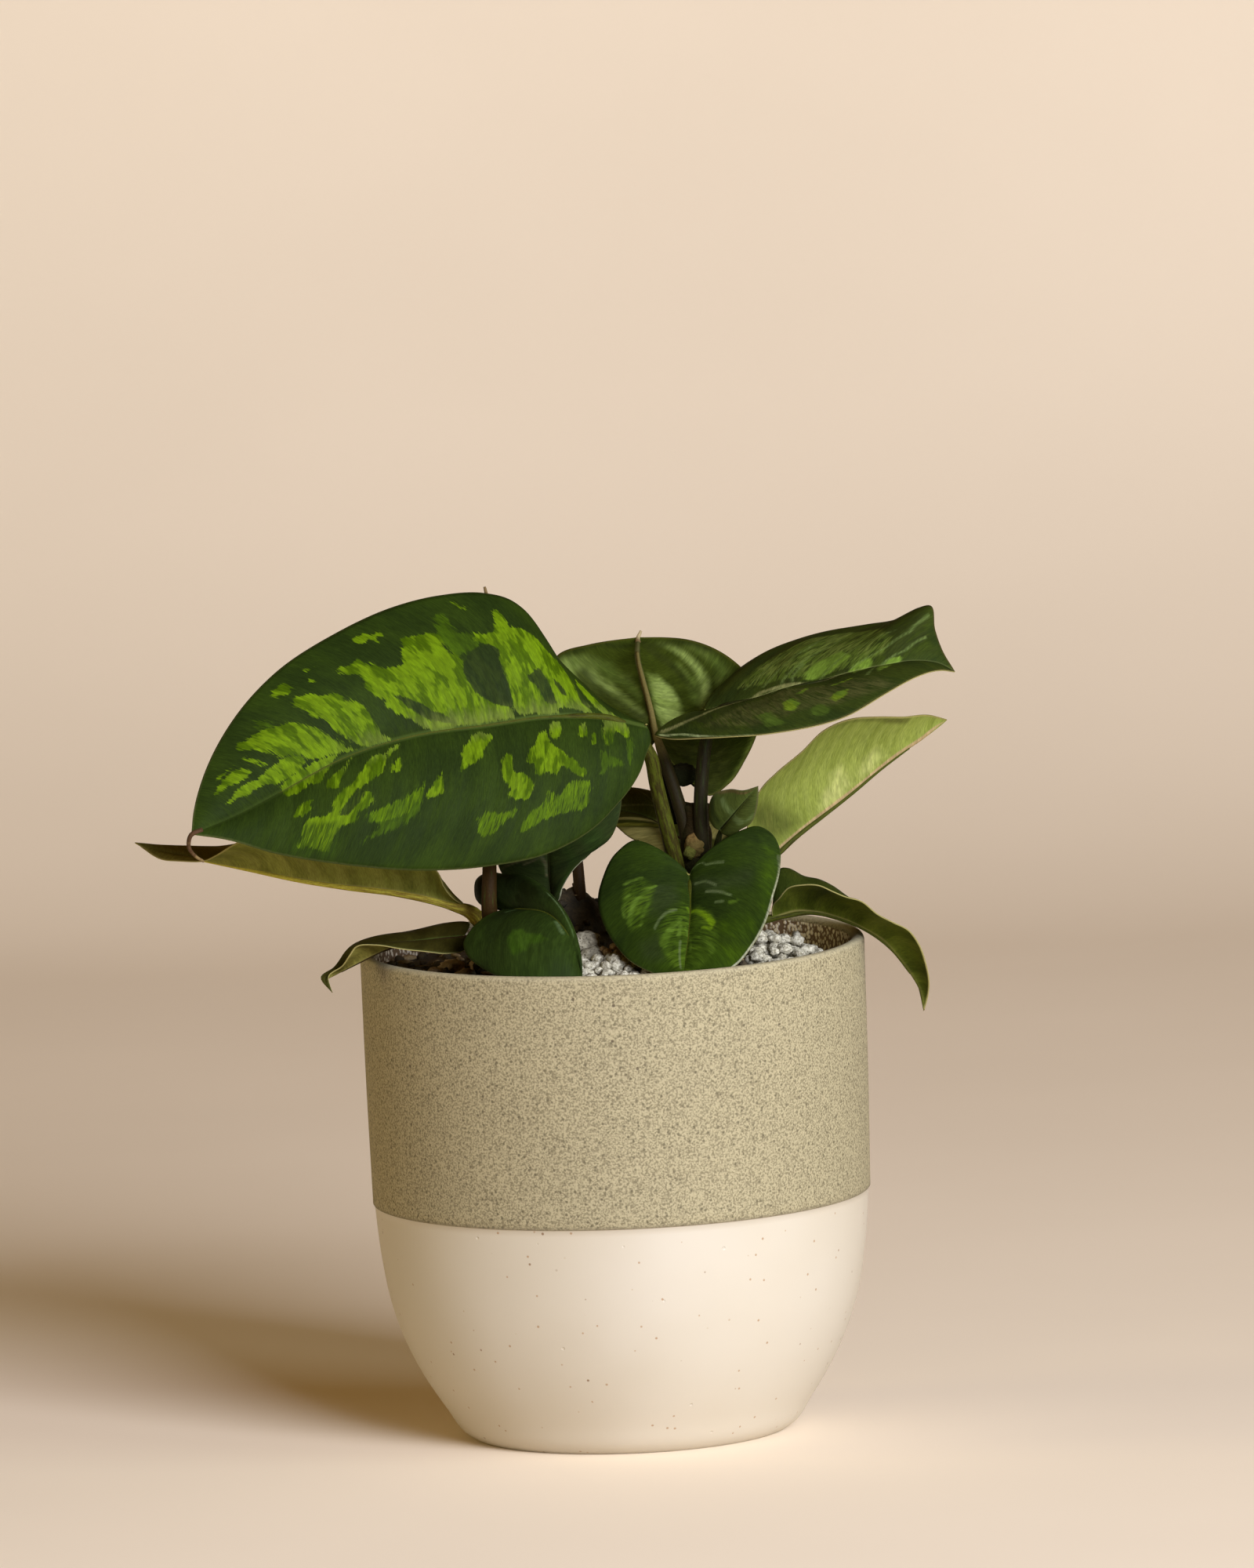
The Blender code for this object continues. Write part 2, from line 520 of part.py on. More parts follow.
def turned(name, profile, segments):
    """A closed body of revolution whose outline starts and ends on the axis.

    A height may also be a function of x and y.
    """
    points = []
    rings = []
    for radius, height in profile:
        first = len(points)
        count = 1 if radius < 1e-6 else segments
        for k in range(count):
            a = 2 * math.pi * k / segments
            x, y = radius * math.cos(a), radius * math.sin(a)
            points.append((x, y, height(x, y) if callable(height) else height))
        rings.append([first + k % count for k in range(segments)])
    faces = []
    for low, high in zip(rings, rings[1:]):
        for k in range(segments):
            n = (k + 1) % segments
            if low[k] != low[n]:
                faces.append((low[k], low[n], high[n]))
            if high[k] != high[n]:
                faces.append((low[k], high[n], high[k]))
    return solid(name, points, faces)


def pot_outline():
    """Outer then inner outline of the pot, from the underside's centre to the floor's centre."""
    rim = RIM_DIAMETER / 2
    top = POT_HEIGHT
    band = [(POT_BOWL[-1][0] + BAND_STEP, BAND_HEIGHT + 0.4), (BAND_MIDDLE_RADIUS, 118.0)]
    lip = [(rim, top - 1.5), (rim - 0.6, top - 0.4), (rim - 1.8, top), (rim - 3.0, top - 0.3),
           (rim - WALL + 0.3, top - 1.8)]
    return [(0.0, 0.0)] + POT_BOWL + band + lip + POT_INSIDE


def make_pot():
    """The turned pot."""
    pot = turned("pot", pot_outline(), POT_SEGMENTS)
    pot.data.materials.append(plain_material("pot_glaze", (0.42, 0.38, 0.26), 0.75))
    return pot


def soil_height(x, y):
    """Height of the soil: low at the wall, with a loose mound between the two crowns."""
    out = min(math.hypot(x, y) / 77.0, 1.0)
    edge = SOIL_EDGE_HEIGHT - SOIL_EDGE_TILT * x / 77.0
    height = SOIL_MIDDLE_HEIGHT + (edge - SOIL_MIDDLE_HEIGHT) * out**2.2
    off = math.hypot(x - MOUND_CENTRE[0], y - MOUND_CENTRE[1]) / MOUND_RADIUS
    height += MOUND_HEIGHT * math.exp(-off**2.4)
    rough = math.sin(x * 0.31 + 1.0) * math.cos(y * 0.27 + 0.5) + 0.6 * math.sin(0.53 * x - 0.41 * y)
    return height + 0.9 * rough * (1.0 - out**6)


def make_soil(cutters):
    """Soil filling the pot up to a gap, with a plain hole or seat for everything in it."""
    gap = 1.5 * FIT_GAP
    outline = [(r - gap if r > 0.0 else r, z + gap) for r, z in reversed(POT_INSIDE) if z < 130.0]
    outline += [(r, soil_height) for r in SOIL_RINGS]
    soil = turned("soil", outline, SOIL_SEGMENTS)
    for cutter in cutters:
        boolean(soil, cutter, "DIFFERENCE")
    soil.data.materials.clear()
    soil.data.materials.append(plain_material("soil_brown", (0.05, 0.03, 0.02), 0.95))
    return soil


def stone(name, centre, radii, seed, grow=0.0, detail=1):
    """One rough stone."""
    dice = random.Random(seed)
    body = bmesh.new()
    bmesh.ops.create_icosphere(body, subdivisions=detail, radius=1.0)
    turn = dice.uniform(0.0, math.pi)
    points = []
    for v in body.verts:
        swell = 1.0 + dice.uniform(-0.07, 0.07)
        x = v.co.x * (radii[0] * swell + grow)
        y = v.co.y * (radii[1] * swell + grow)
        z = v.co.z * (radii[2] * swell + grow)
        points.append((centre[0] + x * math.cos(turn) - y * math.sin(turn),
                       centre[1] + x * math.sin(turn) + y * math.cos(turn), centre[2] + z))
    faces = [tuple(v.index for v in f.verts) for f in body.faces]
    body.free()
    return solid(name, points, faces)


def stone_group(name, stones, grow=0.0):
    """Stones joined into one body."""
    made = None
    for number, (centre, radii) in enumerate(stones):
        one = stone(name + "_" + str(number), centre, radii, 11 * number + 7, grow)
        if made is None:
            made = one
            made.name = name
            continue
        boolean(made, one, "UNION")
    return made


def pebble_bed(bed):
    """Pebbles packed over an oval patch of soil, lying close enough to touch."""
    dice = random.Random(bed["seed"])
    laid = []
    tries = 0
    while len(laid) < bed["count"] and tries < 6000:
        tries += 1
        a = dice.uniform(0.0, 2 * math.pi)
        r = math.sqrt(dice.random())
        x = bed["centre"][0] + bed["reach"][0] * r * math.cos(a)
        y = bed["centre"][1] + bed["reach"][1] * r * math.sin(a)
        big = bed["size"] * dice.uniform(0.8, 1.25)
        z = soil_height(x, y) + bed["lift"] * bed["size"] * (1.0 + 0.8 * (1.0 - r * r))
        near = [math.dist((x, y, z), q[0]) / (big + q[1][0]) for q in laid]
        if near and not CLOSEST < min(near) < FARTHEST:
            continue
        laid.append(((x, y, z), (big, big * dice.uniform(0.8, 1.0), big * dice.uniform(0.7, 0.9))))
    return laid


def stone_heaps():
    """Every group of stones with its colour."""
    heaps = {name: (pebble_bed(bed), PUMICE) for name, bed in PUMICE_BEDS.items()}
    heaps["grey_pebbles"] = (GREY_PEBBLES, GREY)
    return heaps


def crown_body(name, points, radii, grow=0.0):
    """A short thick knobbly rhizome."""
    path = curve(points, np.linspace(0.0, 1.0, 9))
    thick = np.interp(np.linspace(0, 1, 9), np.linspace(0, 1, len(radii)), radii)
    thick = thick * (1.0 + 0.05 * np.sin(np.arange(9) * 2.2)) + grow
    path[0] = path[0] + unit(path[0] - path[1]) * grow
    return tube_solid(name, path, thick, 10)


def socket(leaf_name):
    """A cutter that leaves a gap all round a leaf's stem and under its foot."""
    path, radii = stem_path(LEAVES[leaf_name], SEAT_GAP)
    path[0] = path[0] + unit(path[0] - path[1]) * SEAT_GAP
    return tube_solid("socket", path[:STEM_STATIONS], radii[:STEM_STATIONS])


def make_crown(name, spec):
    """A crown with a plain socket for every stem that grows from it."""
    made = crown_body(name, spec["points"], spec["radii"])
    for leaf_name in spec["leaves"]:
        boolean(made, socket(leaf_name), "DIFFERENCE")
    made.data.materials.clear()
    made.data.materials.append(plain_material(name + "_brown", (0.10, 0.06, 0.03), 0.8))
    return made


def build():
    """Everything in its place."""
    clear_scene()
    make_pot()
    for name, leaf in LEAVES.items():
        make_leaf(name, leaf)
    cutters = []
    for name, spec in CROWNS.items():
        make_crown(name, spec)
        cutters.append(crown_body("cut", spec["points"], spec["radii"], SEAT_GAP))
    cutters.append(socket(SOIL_LEAF))
    for name, (stones, colour) in stone_heaps().items():
        made = stone_group(name, stones)
        made.data.materials.clear()
        made.data.materials.append(plain_material(name + "_stone", colour, 0.85))
        cutters.append(stone_group("cut_" + name, stones, 1.2 * SEAT_GAP))
    make_soil(cutters)


CROWNS = {
    "crown_right": {
        "points": [
            (24.0, -3.0, 140.0), (25.0, -3.0, 160.0), (27.0, -3.5, 176.0), (28.5, -4.5, 187.0),
            (29.0, -4.5, 197.0), (29.0, -4.5, 206.0)],
        "radii": [7.0, 7.5, 7.0, 6.0, 5.0, 4.2],
        "leaves": [
            "leaf_front_left_large", "leaf_back_upright", "leaf_right_top", "leaf_right_middle",
            "leaf_small_dark", "leaf_front_heart", "leaf_right_bottom", "leaf_back_low"]},
    "crown_left": {
        "points": [(-37.0, -18.0, 140.0), (-37.5, -20.0, 155.0), (-38.0, -22.0, 168.0)],
        "radii": [7.0, 7.5, 6.0],
        "leaves": [
            "leaf_front_left_small", "leaf_under_left", "leaf_left_low", "leaf_left_bottom",
            "leaf_hidden_upright"]},
}
SOIL_LEAF = "leaf_back_left"

# two grey stones, (centre, radii), and two heaps of pumice grains
GREY_PEBBLES = [((-9.0, -27.0, 164.0), (4.6, 4.2, 3.6)), ((-7.0, -30.0, 159.5), (5.0, 4.4, 3.8))]
PUMICE_BEDS = {
    "pumice_front": {
        "centre": (2.0, -44.0), "reach": (16.0, 16.0), "count": 18, "size": 3.2, "seed": 5,
        "lift": 0.30},
    "pumice_right": {
        "centre": (53.0, -13.0), "reach": (14.5, 17.0), "count": 20, "size": 3.5, "seed": 26,
        "lift": 0.60},
}
GREY = (0.42, 0.40, 0.36)
PUMICE = (0.75, 0.73, 0.70)

build()
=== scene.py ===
import math
import random

import bmesh
import bpy
import numpy as np
from mathutils import Matrix, Vector, noise


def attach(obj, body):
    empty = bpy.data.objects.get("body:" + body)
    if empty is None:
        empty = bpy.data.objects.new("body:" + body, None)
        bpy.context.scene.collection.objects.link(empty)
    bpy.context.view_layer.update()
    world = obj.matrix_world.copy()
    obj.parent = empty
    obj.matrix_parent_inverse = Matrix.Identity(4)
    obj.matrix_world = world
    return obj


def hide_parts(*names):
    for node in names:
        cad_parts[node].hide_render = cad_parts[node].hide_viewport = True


# Looks of the potted homalomena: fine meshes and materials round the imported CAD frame.
# Millimetres in this file, metres in the scene. X is right, Y is away from the viewer, Z is up.
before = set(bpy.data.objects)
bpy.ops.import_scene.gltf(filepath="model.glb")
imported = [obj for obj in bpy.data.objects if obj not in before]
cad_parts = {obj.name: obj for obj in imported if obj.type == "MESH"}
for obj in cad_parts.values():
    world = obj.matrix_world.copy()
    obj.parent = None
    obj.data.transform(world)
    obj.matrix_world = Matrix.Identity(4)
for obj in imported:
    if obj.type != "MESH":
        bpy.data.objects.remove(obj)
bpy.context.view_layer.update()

MM = 0.001
BODY = "root"

# the photograph and the camera that was fitted to the pot's rim and foot
PHOTO_SIZE = (1600, 2000)
CAMERA_ELEVATION = math.radians(8.396)
CAMERA_ROLL = math.radians(2.237)
CAMERA_RANGE = 6.0
SIGHT_POINT = (0.0, 0.0, 0.08)
SIGHT_PIXEL = (793.05, 1514.47)
PIXELS_PER_METRE = 3894.49
SENSOR = 36.0

# how finely a blade is searched for the spot under a pixel: rows, columns, and slack in pixels
SEARCH_GRID = (240, 100)
SEARCH_SLACK = 1.5

# blade, as in the CAD
VEIN_SWEEP = 0.10
MIDRIB_SPAN = (0.05, 0.80)
STEM_STATIONS = 6
TAIL_RADII = (0.9, 0.45)

# finer forms of the leaves, here only
VEIN_SLANT = 0.32
VEIN_PITCH = 9.0
VEIN_RELIEF = 0.22
VEIN_FADE = (6.0, 8.0)
GROOVE_DEPTH = 0.35
GROOVE_WIDTH = 1.1
BLADE_HALF = 0.30
EDGE_THINNING = 0.12
STEM_MESH = (20, 90)
TAIL_MESH = (10, 16)
GRID_LARGE = (160, 44)
GRID_MARKED = (130, 38)
GRID_PLAIN = (90, 26)

# The leaves, as in the CAD: midrib, both margins, stem and dry tail as points from the base on. Lobe is
# how far the base reaches back, bulge arches each half, wave (size, turns, start) ripples its margin,
# and calm is the share of the length over which both set in.
LEAVES = {
    # large patterned leaf at the front left, upper face forward
    "leaf_front_left_large": {
        "rows": 20, "lobe": 0.03, "bulge": (0.1, 0.1), "wave": (0.6, 3.0, 0.4),
        "stem_radii": (2.7, 2.3, 0.6),
        "midrib": [(14, -30, 235.5), (0, -33, 239), (-17.5, -37, 240.5), (-38, -41, 239),
            (-58.5, -45, 237.5), (-84, -51, 231.5), (-104.5, -56, 222), (-120, -60, 215),
            (-134.5, -64, 210)],
        "right": [(9, -21, 235.5), (4.5, -19, 237.5), (-2, -18, 242), (-9, -17, 250.5), (-16.5, -17, 260.5),
            (-19.5, -17, 266.5), (-23, -17, 272), (-29, -18, 277), (-37, -20, 279.5), (-52, -22, 279.5),
            (-67, -26, 277), (-88, -34, 269), (-106, -42, 258.5), (-119, -49, 246), (-129.5, -56, 229),
            (-133.5, -61, 217)],
        "left": [(15, -31, 230.5), (13.5, -33, 227), (11, -37, 221), (7, -41, 215.5), (3.5, -44, 212),
            (-4, -49, 205.5), (-19.5, -54, 198), (-40, -58, 195), (-57.5, -61, 195), (-88, -64, 198.5),
            (-108, -65, 203), (-123, -65, 208)],
        "stem": [(22.5, -9, 183), (21, -15, 192.5), (18.5, -18, 204.5), (16.5, -21, 215), (15, -25, 224.5)],
        "tail": [(-135.5, -63, 206), (-133.5, -61, 202.5), (-131, -59, 200.5)]},
    # pale upright leaf at the back, underside forward, with a dry tip
    "leaf_back_upright": {
        "rows": 10, "lobe": 0.2, "bulge": (0.12, 0.12), "wave": (0.5, 2.0, 0.0),
        "stem_radii": (2.5, 2.0, 0.6), "calm": 0.3,
        "midrib": [(17, 2, 227), (15.5, 10, 236), (13.5, 20, 244), (12, 31, 251), (12.5, 42, 256)],
        "right": [(10.5, 0, 221), (1, 2, 219.5), (-9.5, 8, 224), (-16.5, 16, 234), (-18, 24, 243.5),
            (-14, 33, 252.5), (-4, 38, 254.5), (5.5, 41, 255.5)],
        "left": [(22, 0, 219.5), (29.5, 0, 211.5), (33.5, 1, 208), (40, 4, 211), (46, 9, 218.5),
            (50, 14, 226), (51.5, 21, 234.5), (49.5, 28, 242), (46, 33, 246), (37.5, 39, 251.5),
            (28.5, 42, 254.5), (20.5, 43, 255.5)],
        "stem": [(26.5, -4, 187), (25.5, -5, 197.5), (23, -5, 208.5), (20, -3, 219)],
        "tail": [(13.5, 43, 258)]},
    # long leaf at the upper right, reaching sideways
    "leaf_right_top": {
        "rows": 13, "lobe": 0.2, "bulge": (0.08, 0.05), "wave": (0.7, 2.5, 1.0),
        "stem_radii": (2.5, 2.1, 0.6),
        "midrib": [(33, -6, 236.5), (43, -8, 239), (51.5, -9, 241), (60, -8, 243.5), (69, -7, 244.5),
            (80, -5, 247), (91.5, -1, 248.5), (102, 4, 249), (109.5, 8, 247.5), (115.5, 9, 244.5)],
        "right": [(28, -9, 235), (22.5, -14.5, 233.5), (18.5, -18.5, 232.5), (16.5, -22, 231.5),
            (20, -27, 231), (31.5, -34, 231.5), (40.5, -37, 231.5), (49.5, -39, 231.5), (63, -39, 233),
            (77, -36, 236.5), (91, -29, 242.5), (102, -18, 246), (110.5, -3, 246.5)],
        "left": [(35, 2, 237.5), (35.5, 8, 238.5), (38.5, 16, 240.5), (41.5, 22, 243), (46, 29, 246.5),
            (54, 35, 250), (64.5, 38, 253), (75.5, 39, 256), (88, 37, 258.5), (97.5, 33, 260),
            (104.5, 28, 263.5), (108.5, 24, 264.5), (109.5, 17, 257.5), (112, 12, 250.5)],
        "stem": [(31, -6.5, 185), (30.5, -9, 197.5), (31, -9.5, 212), (33, -8, 226)]},
    # pale leaf at the right, seen from its underside
    "leaf_right_middle": {
        "rows": 11, "lobe": 0.16, "bulge": (0.1, 0.08), "wave": (0.6, 2.0, 0.5),
        "stem_radii": (2.3, 1.9, 0.5),
        "midrib": [(49.5, 4, 183.5), (55.5, 6, 188.5), (66.5, 10, 196.5), (76, 13, 202.5), (85, 16, 209),
            (95, 19, 216), (105, 22, 222), (112.5, 25, 227)],
        "right": [(46.5, 0, 187), (45.5, -4, 195), (47.5, -7, 204.5), (50.5, -8, 211), (56, -9, 216.5),
            (64.5, -8, 222.5), (71.5, -5, 228), (80, 0, 231), (90.5, 7, 231), (98.5, 13, 230),
            (106, 19, 229.5)],
        "left": [(53, 16, 183.5), (58, 30, 193), (66, 38, 203), (77, 42, 211.5), (87.5, 42, 217.5),
            (97.5, 38, 222.5), (106.5, 31, 226)],
        "stem": [(30.5, -1, 182), (35, 3, 182.5), (40.5, 4, 181), (45.5, 4, 181)]},
    # small dark young leaf between the stems and the pale leaf
    "leaf_small_dark": {
        "rows": 7, "lobe": 0.18, "bulge": (0.12, 0.12), "wave": (0.3, 1.0, 0.0),
        "stem_radii": (1.6, 1.3, 0.4),
        "midrib": [(36.5, -16, 198.5), (40.5, -21, 203.5), (45.5, -25, 209.5), (49.5, -27, 214)],
        "right": [(40.5, -20, 197), (43.5, -23, 199.5), (46.5, -25, 201.5), (49, -27, 208),
            (49.5, -27, 211.5)],
        "left": [(34, -15, 201), (33.5, -16, 206), (35, -18, 210.5), (40, -21, 212.5), (45, -25, 212.5)],
        "stem": [(32, -5, 179), (35, -11, 186.5), (35.5, -13.5, 192.5)]},
    # heart-shaped leaf at the front, its tip inside the pot
    "leaf_front_heart": {
        "rows": 12, "lobe": 0.3, "bulge": (0.1, 0.1), "wave": (0.5, 2.0, 0.0),
        "stem_radii": (2.0, 1.7, 0.5),
        "midrib": [(26, -24, 185.5), (26, -32, 177.5), (25, -44, 169), (23.5, -56, 161.5),
            (22.5, -65, 156.5)],
        "right": [(22, -22, 188), (18.5, -20, 191), (14.5, -19, 193.5), (9, -18, 196.5), (2.5, -20, 193),
            (-2.5, -26, 185), (-4, -32, 179.5), (-2.5, -40, 172), (1, -48, 166.5), (6, -56, 162),
            (13.5, -61, 158.5)],
        "left": [(32, -23, 190), (38, -23, 195.5), (43.5, -24, 199), (49, -25, 200.5), (53.5, -27, 198),
            (55.5, -29, 194), (55.5, -32, 188), (53, -38, 179), (50, -45, 171), (45, -53, 164.5),
            (39, -60, 159.5), (29.5, -64, 156.5)],
        "stem": [(26, -9, 176.5), (26.5, -16, 180), (26.5, -21, 183)]},
    # small cupped leaf at the front left, its tip inside the pot
    "leaf_front_left_small": {
        "rows": 11, "lobe": 0.2, "bulge": (0.14, 0.14), "wave": (0.4, 2.0, 0.0),
        "stem_radii": (1.9, 1.6, 0.5), "calm": 0.3,
        "midrib": [(-33.5, -35, 177.5), (-28.5, -41, 178.5), (-20, -49, 177.5), (-14, -57, 171.5),
            (-10, -64, 158)],
        "right": [(-39, -39, 176), (-45, -45, 172.5), (-48, -48, 169.5), (-47.5, -52, 166.5),
            (-43, -58, 162.5), (-33.5, -65, 158.5), (-21, -68, 157), (-12, -66, 156.5)],
        "left": [(-37, -28, 177), (-41, -21, 177), (-44, -14, 180.5), (-43.5, -13, 185), (-40, -14, 187.5),
            (-35, -18, 187.5), (-30, -24, 188), (-24.5, -33, 186.5), (-19, -41, 182.5), (-14, -50, 176.5),
            (-11, -57, 169.5), (-10, -62, 163)],
        "stem": [(-34.5, -27, 163), (-34, -31, 168), (-34.5, -34, 173)]},
    # dark leaf standing behind the large one
    "leaf_under_left": {
        "rows": 11, "lobe": 0.12, "bulge": (0.1, 0.06), "wave": (0.4, 2.0, 0.0),
        "stem_radii": (2.1, 1.8, 0.5),
        "midrib": [(-19, -14, 177), (-19.5, -13, 184.5), (-19.5, -16, 195.5), (-17.5, -18, 208.5),
            (-13, -19, 218.5), (-7.5, -19, 225.5)],
        "right": [(-17, -16, 177.5), (-15, -18, 182.5), (-11.5, -20, 188), (-5.5, -21, 193.5),
            (1, -22, 198.5), (3.5, -22, 203.5), (5, -21, 213), (3.5, -20, 220.5), (-1.5, -19.5, 225)],
        "left": [(-21, -12, 176.5), (-24, -9, 177.5), (-29, -6, 180.5), (-33.5, -4, 183.5), (-36, -5, 188),
            (-36, -9, 193), (-34, -14, 199.5), (-29.5, -19, 207), (-23.5, -21, 215), (-17, -21, 222),
            (-11.5, -20, 225.5)],
        "stem": [(-36, -18, 165.5), (-32, -16, 168.5), (-26.5, -15, 171.5), (-22.5, -14, 174)]},
    # long rolled leaf at the left, behind the large one
    "leaf_left_low": {
        "rows": 14, "lobe": 0.03, "bulge": (0.08, 0.08), "wave": (0.6, 2.5, 0.0),
        "stem_radii": (2.6, 2.6, 0.6),
        "midrib": [(-47.5, -17, 177), (-60.5, -17, 181), (-72.5, -16, 183.5), (-88.5, -14, 185.5),
            (-100.5, -12, 187.5), (-112.5, -9, 190), (-127, -6, 193), (-137, -3, 195), (-146, -1, 197),
            (-154.5, 0, 200)],
        "right": [(-51.5, -8, 180), (-56, 0, 185), (-64, 10, 189), (-78.5, 18, 192), (-96.5, 22, 195),
            (-114.5, 20, 197), (-128.5, 14, 196), (-138, 8, 197), (-147.5, 3, 198.5)],
        "left": [(-51.5, -22, 180.5), (-54, -26, 184.5), (-56, -31, 190.5), (-62.5, -36, 196),
            (-75.5, -39, 200.5), (-90.5, -39, 204), (-105.5, -35, 205.5), (-116, -30, 204.5),
            (-122, -25, 201.5), (-128, -17, 197), (-132, -12, 194.5), (-140, -7, 194), (-146, -4, 194.5)],
        "stem": [(-41, -17, 165.5), (-42, -17, 170.5), (-44.5, -17, 174)]},
    # leaf draping over the left of the rim
    "leaf_left_bottom": {
        "rows": 12, "lobe": 0.03, "bulge": (0.06, 0.06), "wave": (0.4, 2.0, 0.0),
        "stem_radii": (1.9, 1.6, 0.5),
        "midrib": [(-48, -28, 168.5), (-61.5, -30, 168), (-71.5, -32, 167), (-78, -33, 164.5),
            (-84.5, -34, 161.5), (-90, -35, 159), (-93.5, -36, 157), (-91.5, -37, 153)],
        "right": [(-46.5, -18, 171.5), (-54, -12, 171), (-65.5, -8, 168.5), (-73.5, -8, 167),
            (-81.5, -12, 166), (-84.5, -18, 165.5), (-87, -25, 164.5), (-91, -32, 160.5), (-95, -35, 158)],
        "left": [(-48, -36, 165), (-53.5, -42, 165), (-61.5, -46, 167), (-69, -47, 168), (-77, -46, 169),
            (-83, -44, 168.5), (-85.5, -42, 165.5), (-88, -39, 162), (-92.5, -37, 158.5)],
        "stem": [(-43.5, -22, 160), (-44, -25, 164), (-45.5, -27, 167)]},
    # narrow leaf draping over the right of the rim
    "leaf_right_bottom": {
        "rows": 14, "lobe": 0.03, "bulge": (0.08, 0.08), "wave": (0.5, 2.0, 0.0),
        "stem_radii": (2.1, 1.8, 0.5),
        "midrib": [(52.5, -15, 169), (60, -14, 171), (66, -13, 170.5), (74.5, -12, 168), (82.5, -11, 164),
            (89, -11, 159.5), (93, -11, 154.5), (97.5, -11, 148), (100, -11, 143), (101, -11, 136)],
        "right": [(53, -21, 174), (55, -25, 176.5), (58.5, -29, 180.5), (62.5, -31, 181.5),
            (68, -32, 181.5), (72.5, -32, 179.5), (76.5, -31, 177.5), (81.5, -30, 175.5), (87, -28, 170),
            (91.5, -26, 167), (96.5, -24, 164), (100, -22, 159), (102, -19, 153), (103, -16, 146.5),
            (102.5, -13, 141.5)],
        "left": [(53.5, -7, 176), (54.5, -1, 180), (56, 4, 182.5), (59, 8, 182), (64, 12, 179),
            (69, 14, 177.5), (73, 15, 175), (77.5, 15, 171), (83.5, 13, 166.5), (89.5, 9, 160),
            (94.5, 4, 154.5), (98.5, -4, 147.5)],
        "stem": [(31.5, -8, 174.5), (35.5, -12, 172), (41, -14, 169.5), (47, -15, 168.5)]},
    # low leaf at the back, seen between the stems
    "leaf_back_low": {
        "rows": 10, "lobe": 0.22, "bulge": (0.1, 0.1), "wave": (0.5, 2.0, 0.0),
        "stem_radii": (2.0, 1.7, 0.5),
        "midrib": [(26.5, 10, 189.5), (21.5, 17, 194), (14, 25, 198), (6.5, 33, 199.5), (-1, 40, 200),
            (-7.5, 46, 200)],
        "right": [(33, 12, 187.5), (39.5, 16, 190), (39.5, 22, 196), (33.5, 29, 200.5), (25, 36, 202),
            (16.5, 43, 204), (7, 50, 205.5), (-1, 54, 204.5), (-5.5, 52, 202)],
        "left": [(24, 6, 186), (18.5, 9, 186), (12, 14, 191), (6.5, 18, 193.5), (2.5, 24, 196),
            (-1.5, 32, 197), (-5.5, 40, 198.5)],
        "stem": [(26, 1, 181.5), (26, 5, 184), (26, 8, 187)]},
    # upright leaf mostly hidden behind the large one, only its tip shows
    "leaf_hidden_upright": {
        "rows": 10, "lobe": 0.2, "bulge": (0.1, 0.1), "wave": (0.6, 2.0, 0.0),
        "stem_radii": (3.0, 2.0, 0.6),
        "midrib": [(-37, -5, 203.5), (-36, 2, 219.5), (-35, 6, 238.5), (-35.5, 4, 259), (-36.5, 0, 274)],
        "right": [(-32, -4, 198.5), (-24, 2, 199.5), (-17.5, 8, 209), (-15.5, 12, 221.5), (-16.5, 13, 237),
            (-20, 10, 252), (-27.5, 4, 266.5)],
        "left": [(-42.5, -4, 198.5), (-52.5, 0, 199.5), (-61, 6, 208.5), (-63, 10, 222), (-60, 12, 238.5),
            (-53, 9, 254), (-44, 4, 267.5)],
        "stem": [(-38, -22, 164), (-38.5, -27, 169), (-39.5, -33, 176.5), (-39, -34, 184.5),
            (-39, -32, 191.5), (-37.5, -19, 198)],
        "tail": [(-36.5, 0, 276.5), (-37, 0, 279.5)]},
    # leaf at the back left, supposed from its stem
    "leaf_back_left": {
        "rows": 10, "lobe": 0.2, "bulge": (0.1, 0.1), "wave": (0.6, 2.0, 0.0),
        "stem_radii": (2.0, 1.8, 0.5),
        "midrib": [(-12, 22, 200.5), (-21.5, 36, 209), (-34, 52, 217), (-46.5, 67, 222.5),
            (-58.5, 80, 224.5)],
        "right": [(-8, 34, 203.5), (-11.5, 48, 211.5), (-20.5, 64, 219), (-31, 78, 225), (-42.5, 86, 228),
            (-52.5, 87, 227.5)],
        "left": [(-16, 16, 197.5), (-24.5, 22, 199), (-34.5, 34, 205), (-44.5, 48, 211.5),
            (-53.5, 64, 218)],
        "stem": [(-9.5, 6, 170), (-10, 7, 181), (-10.5, 10, 189), (-11.5, 15, 195.5)]}}


# Shapes shared by the leaves

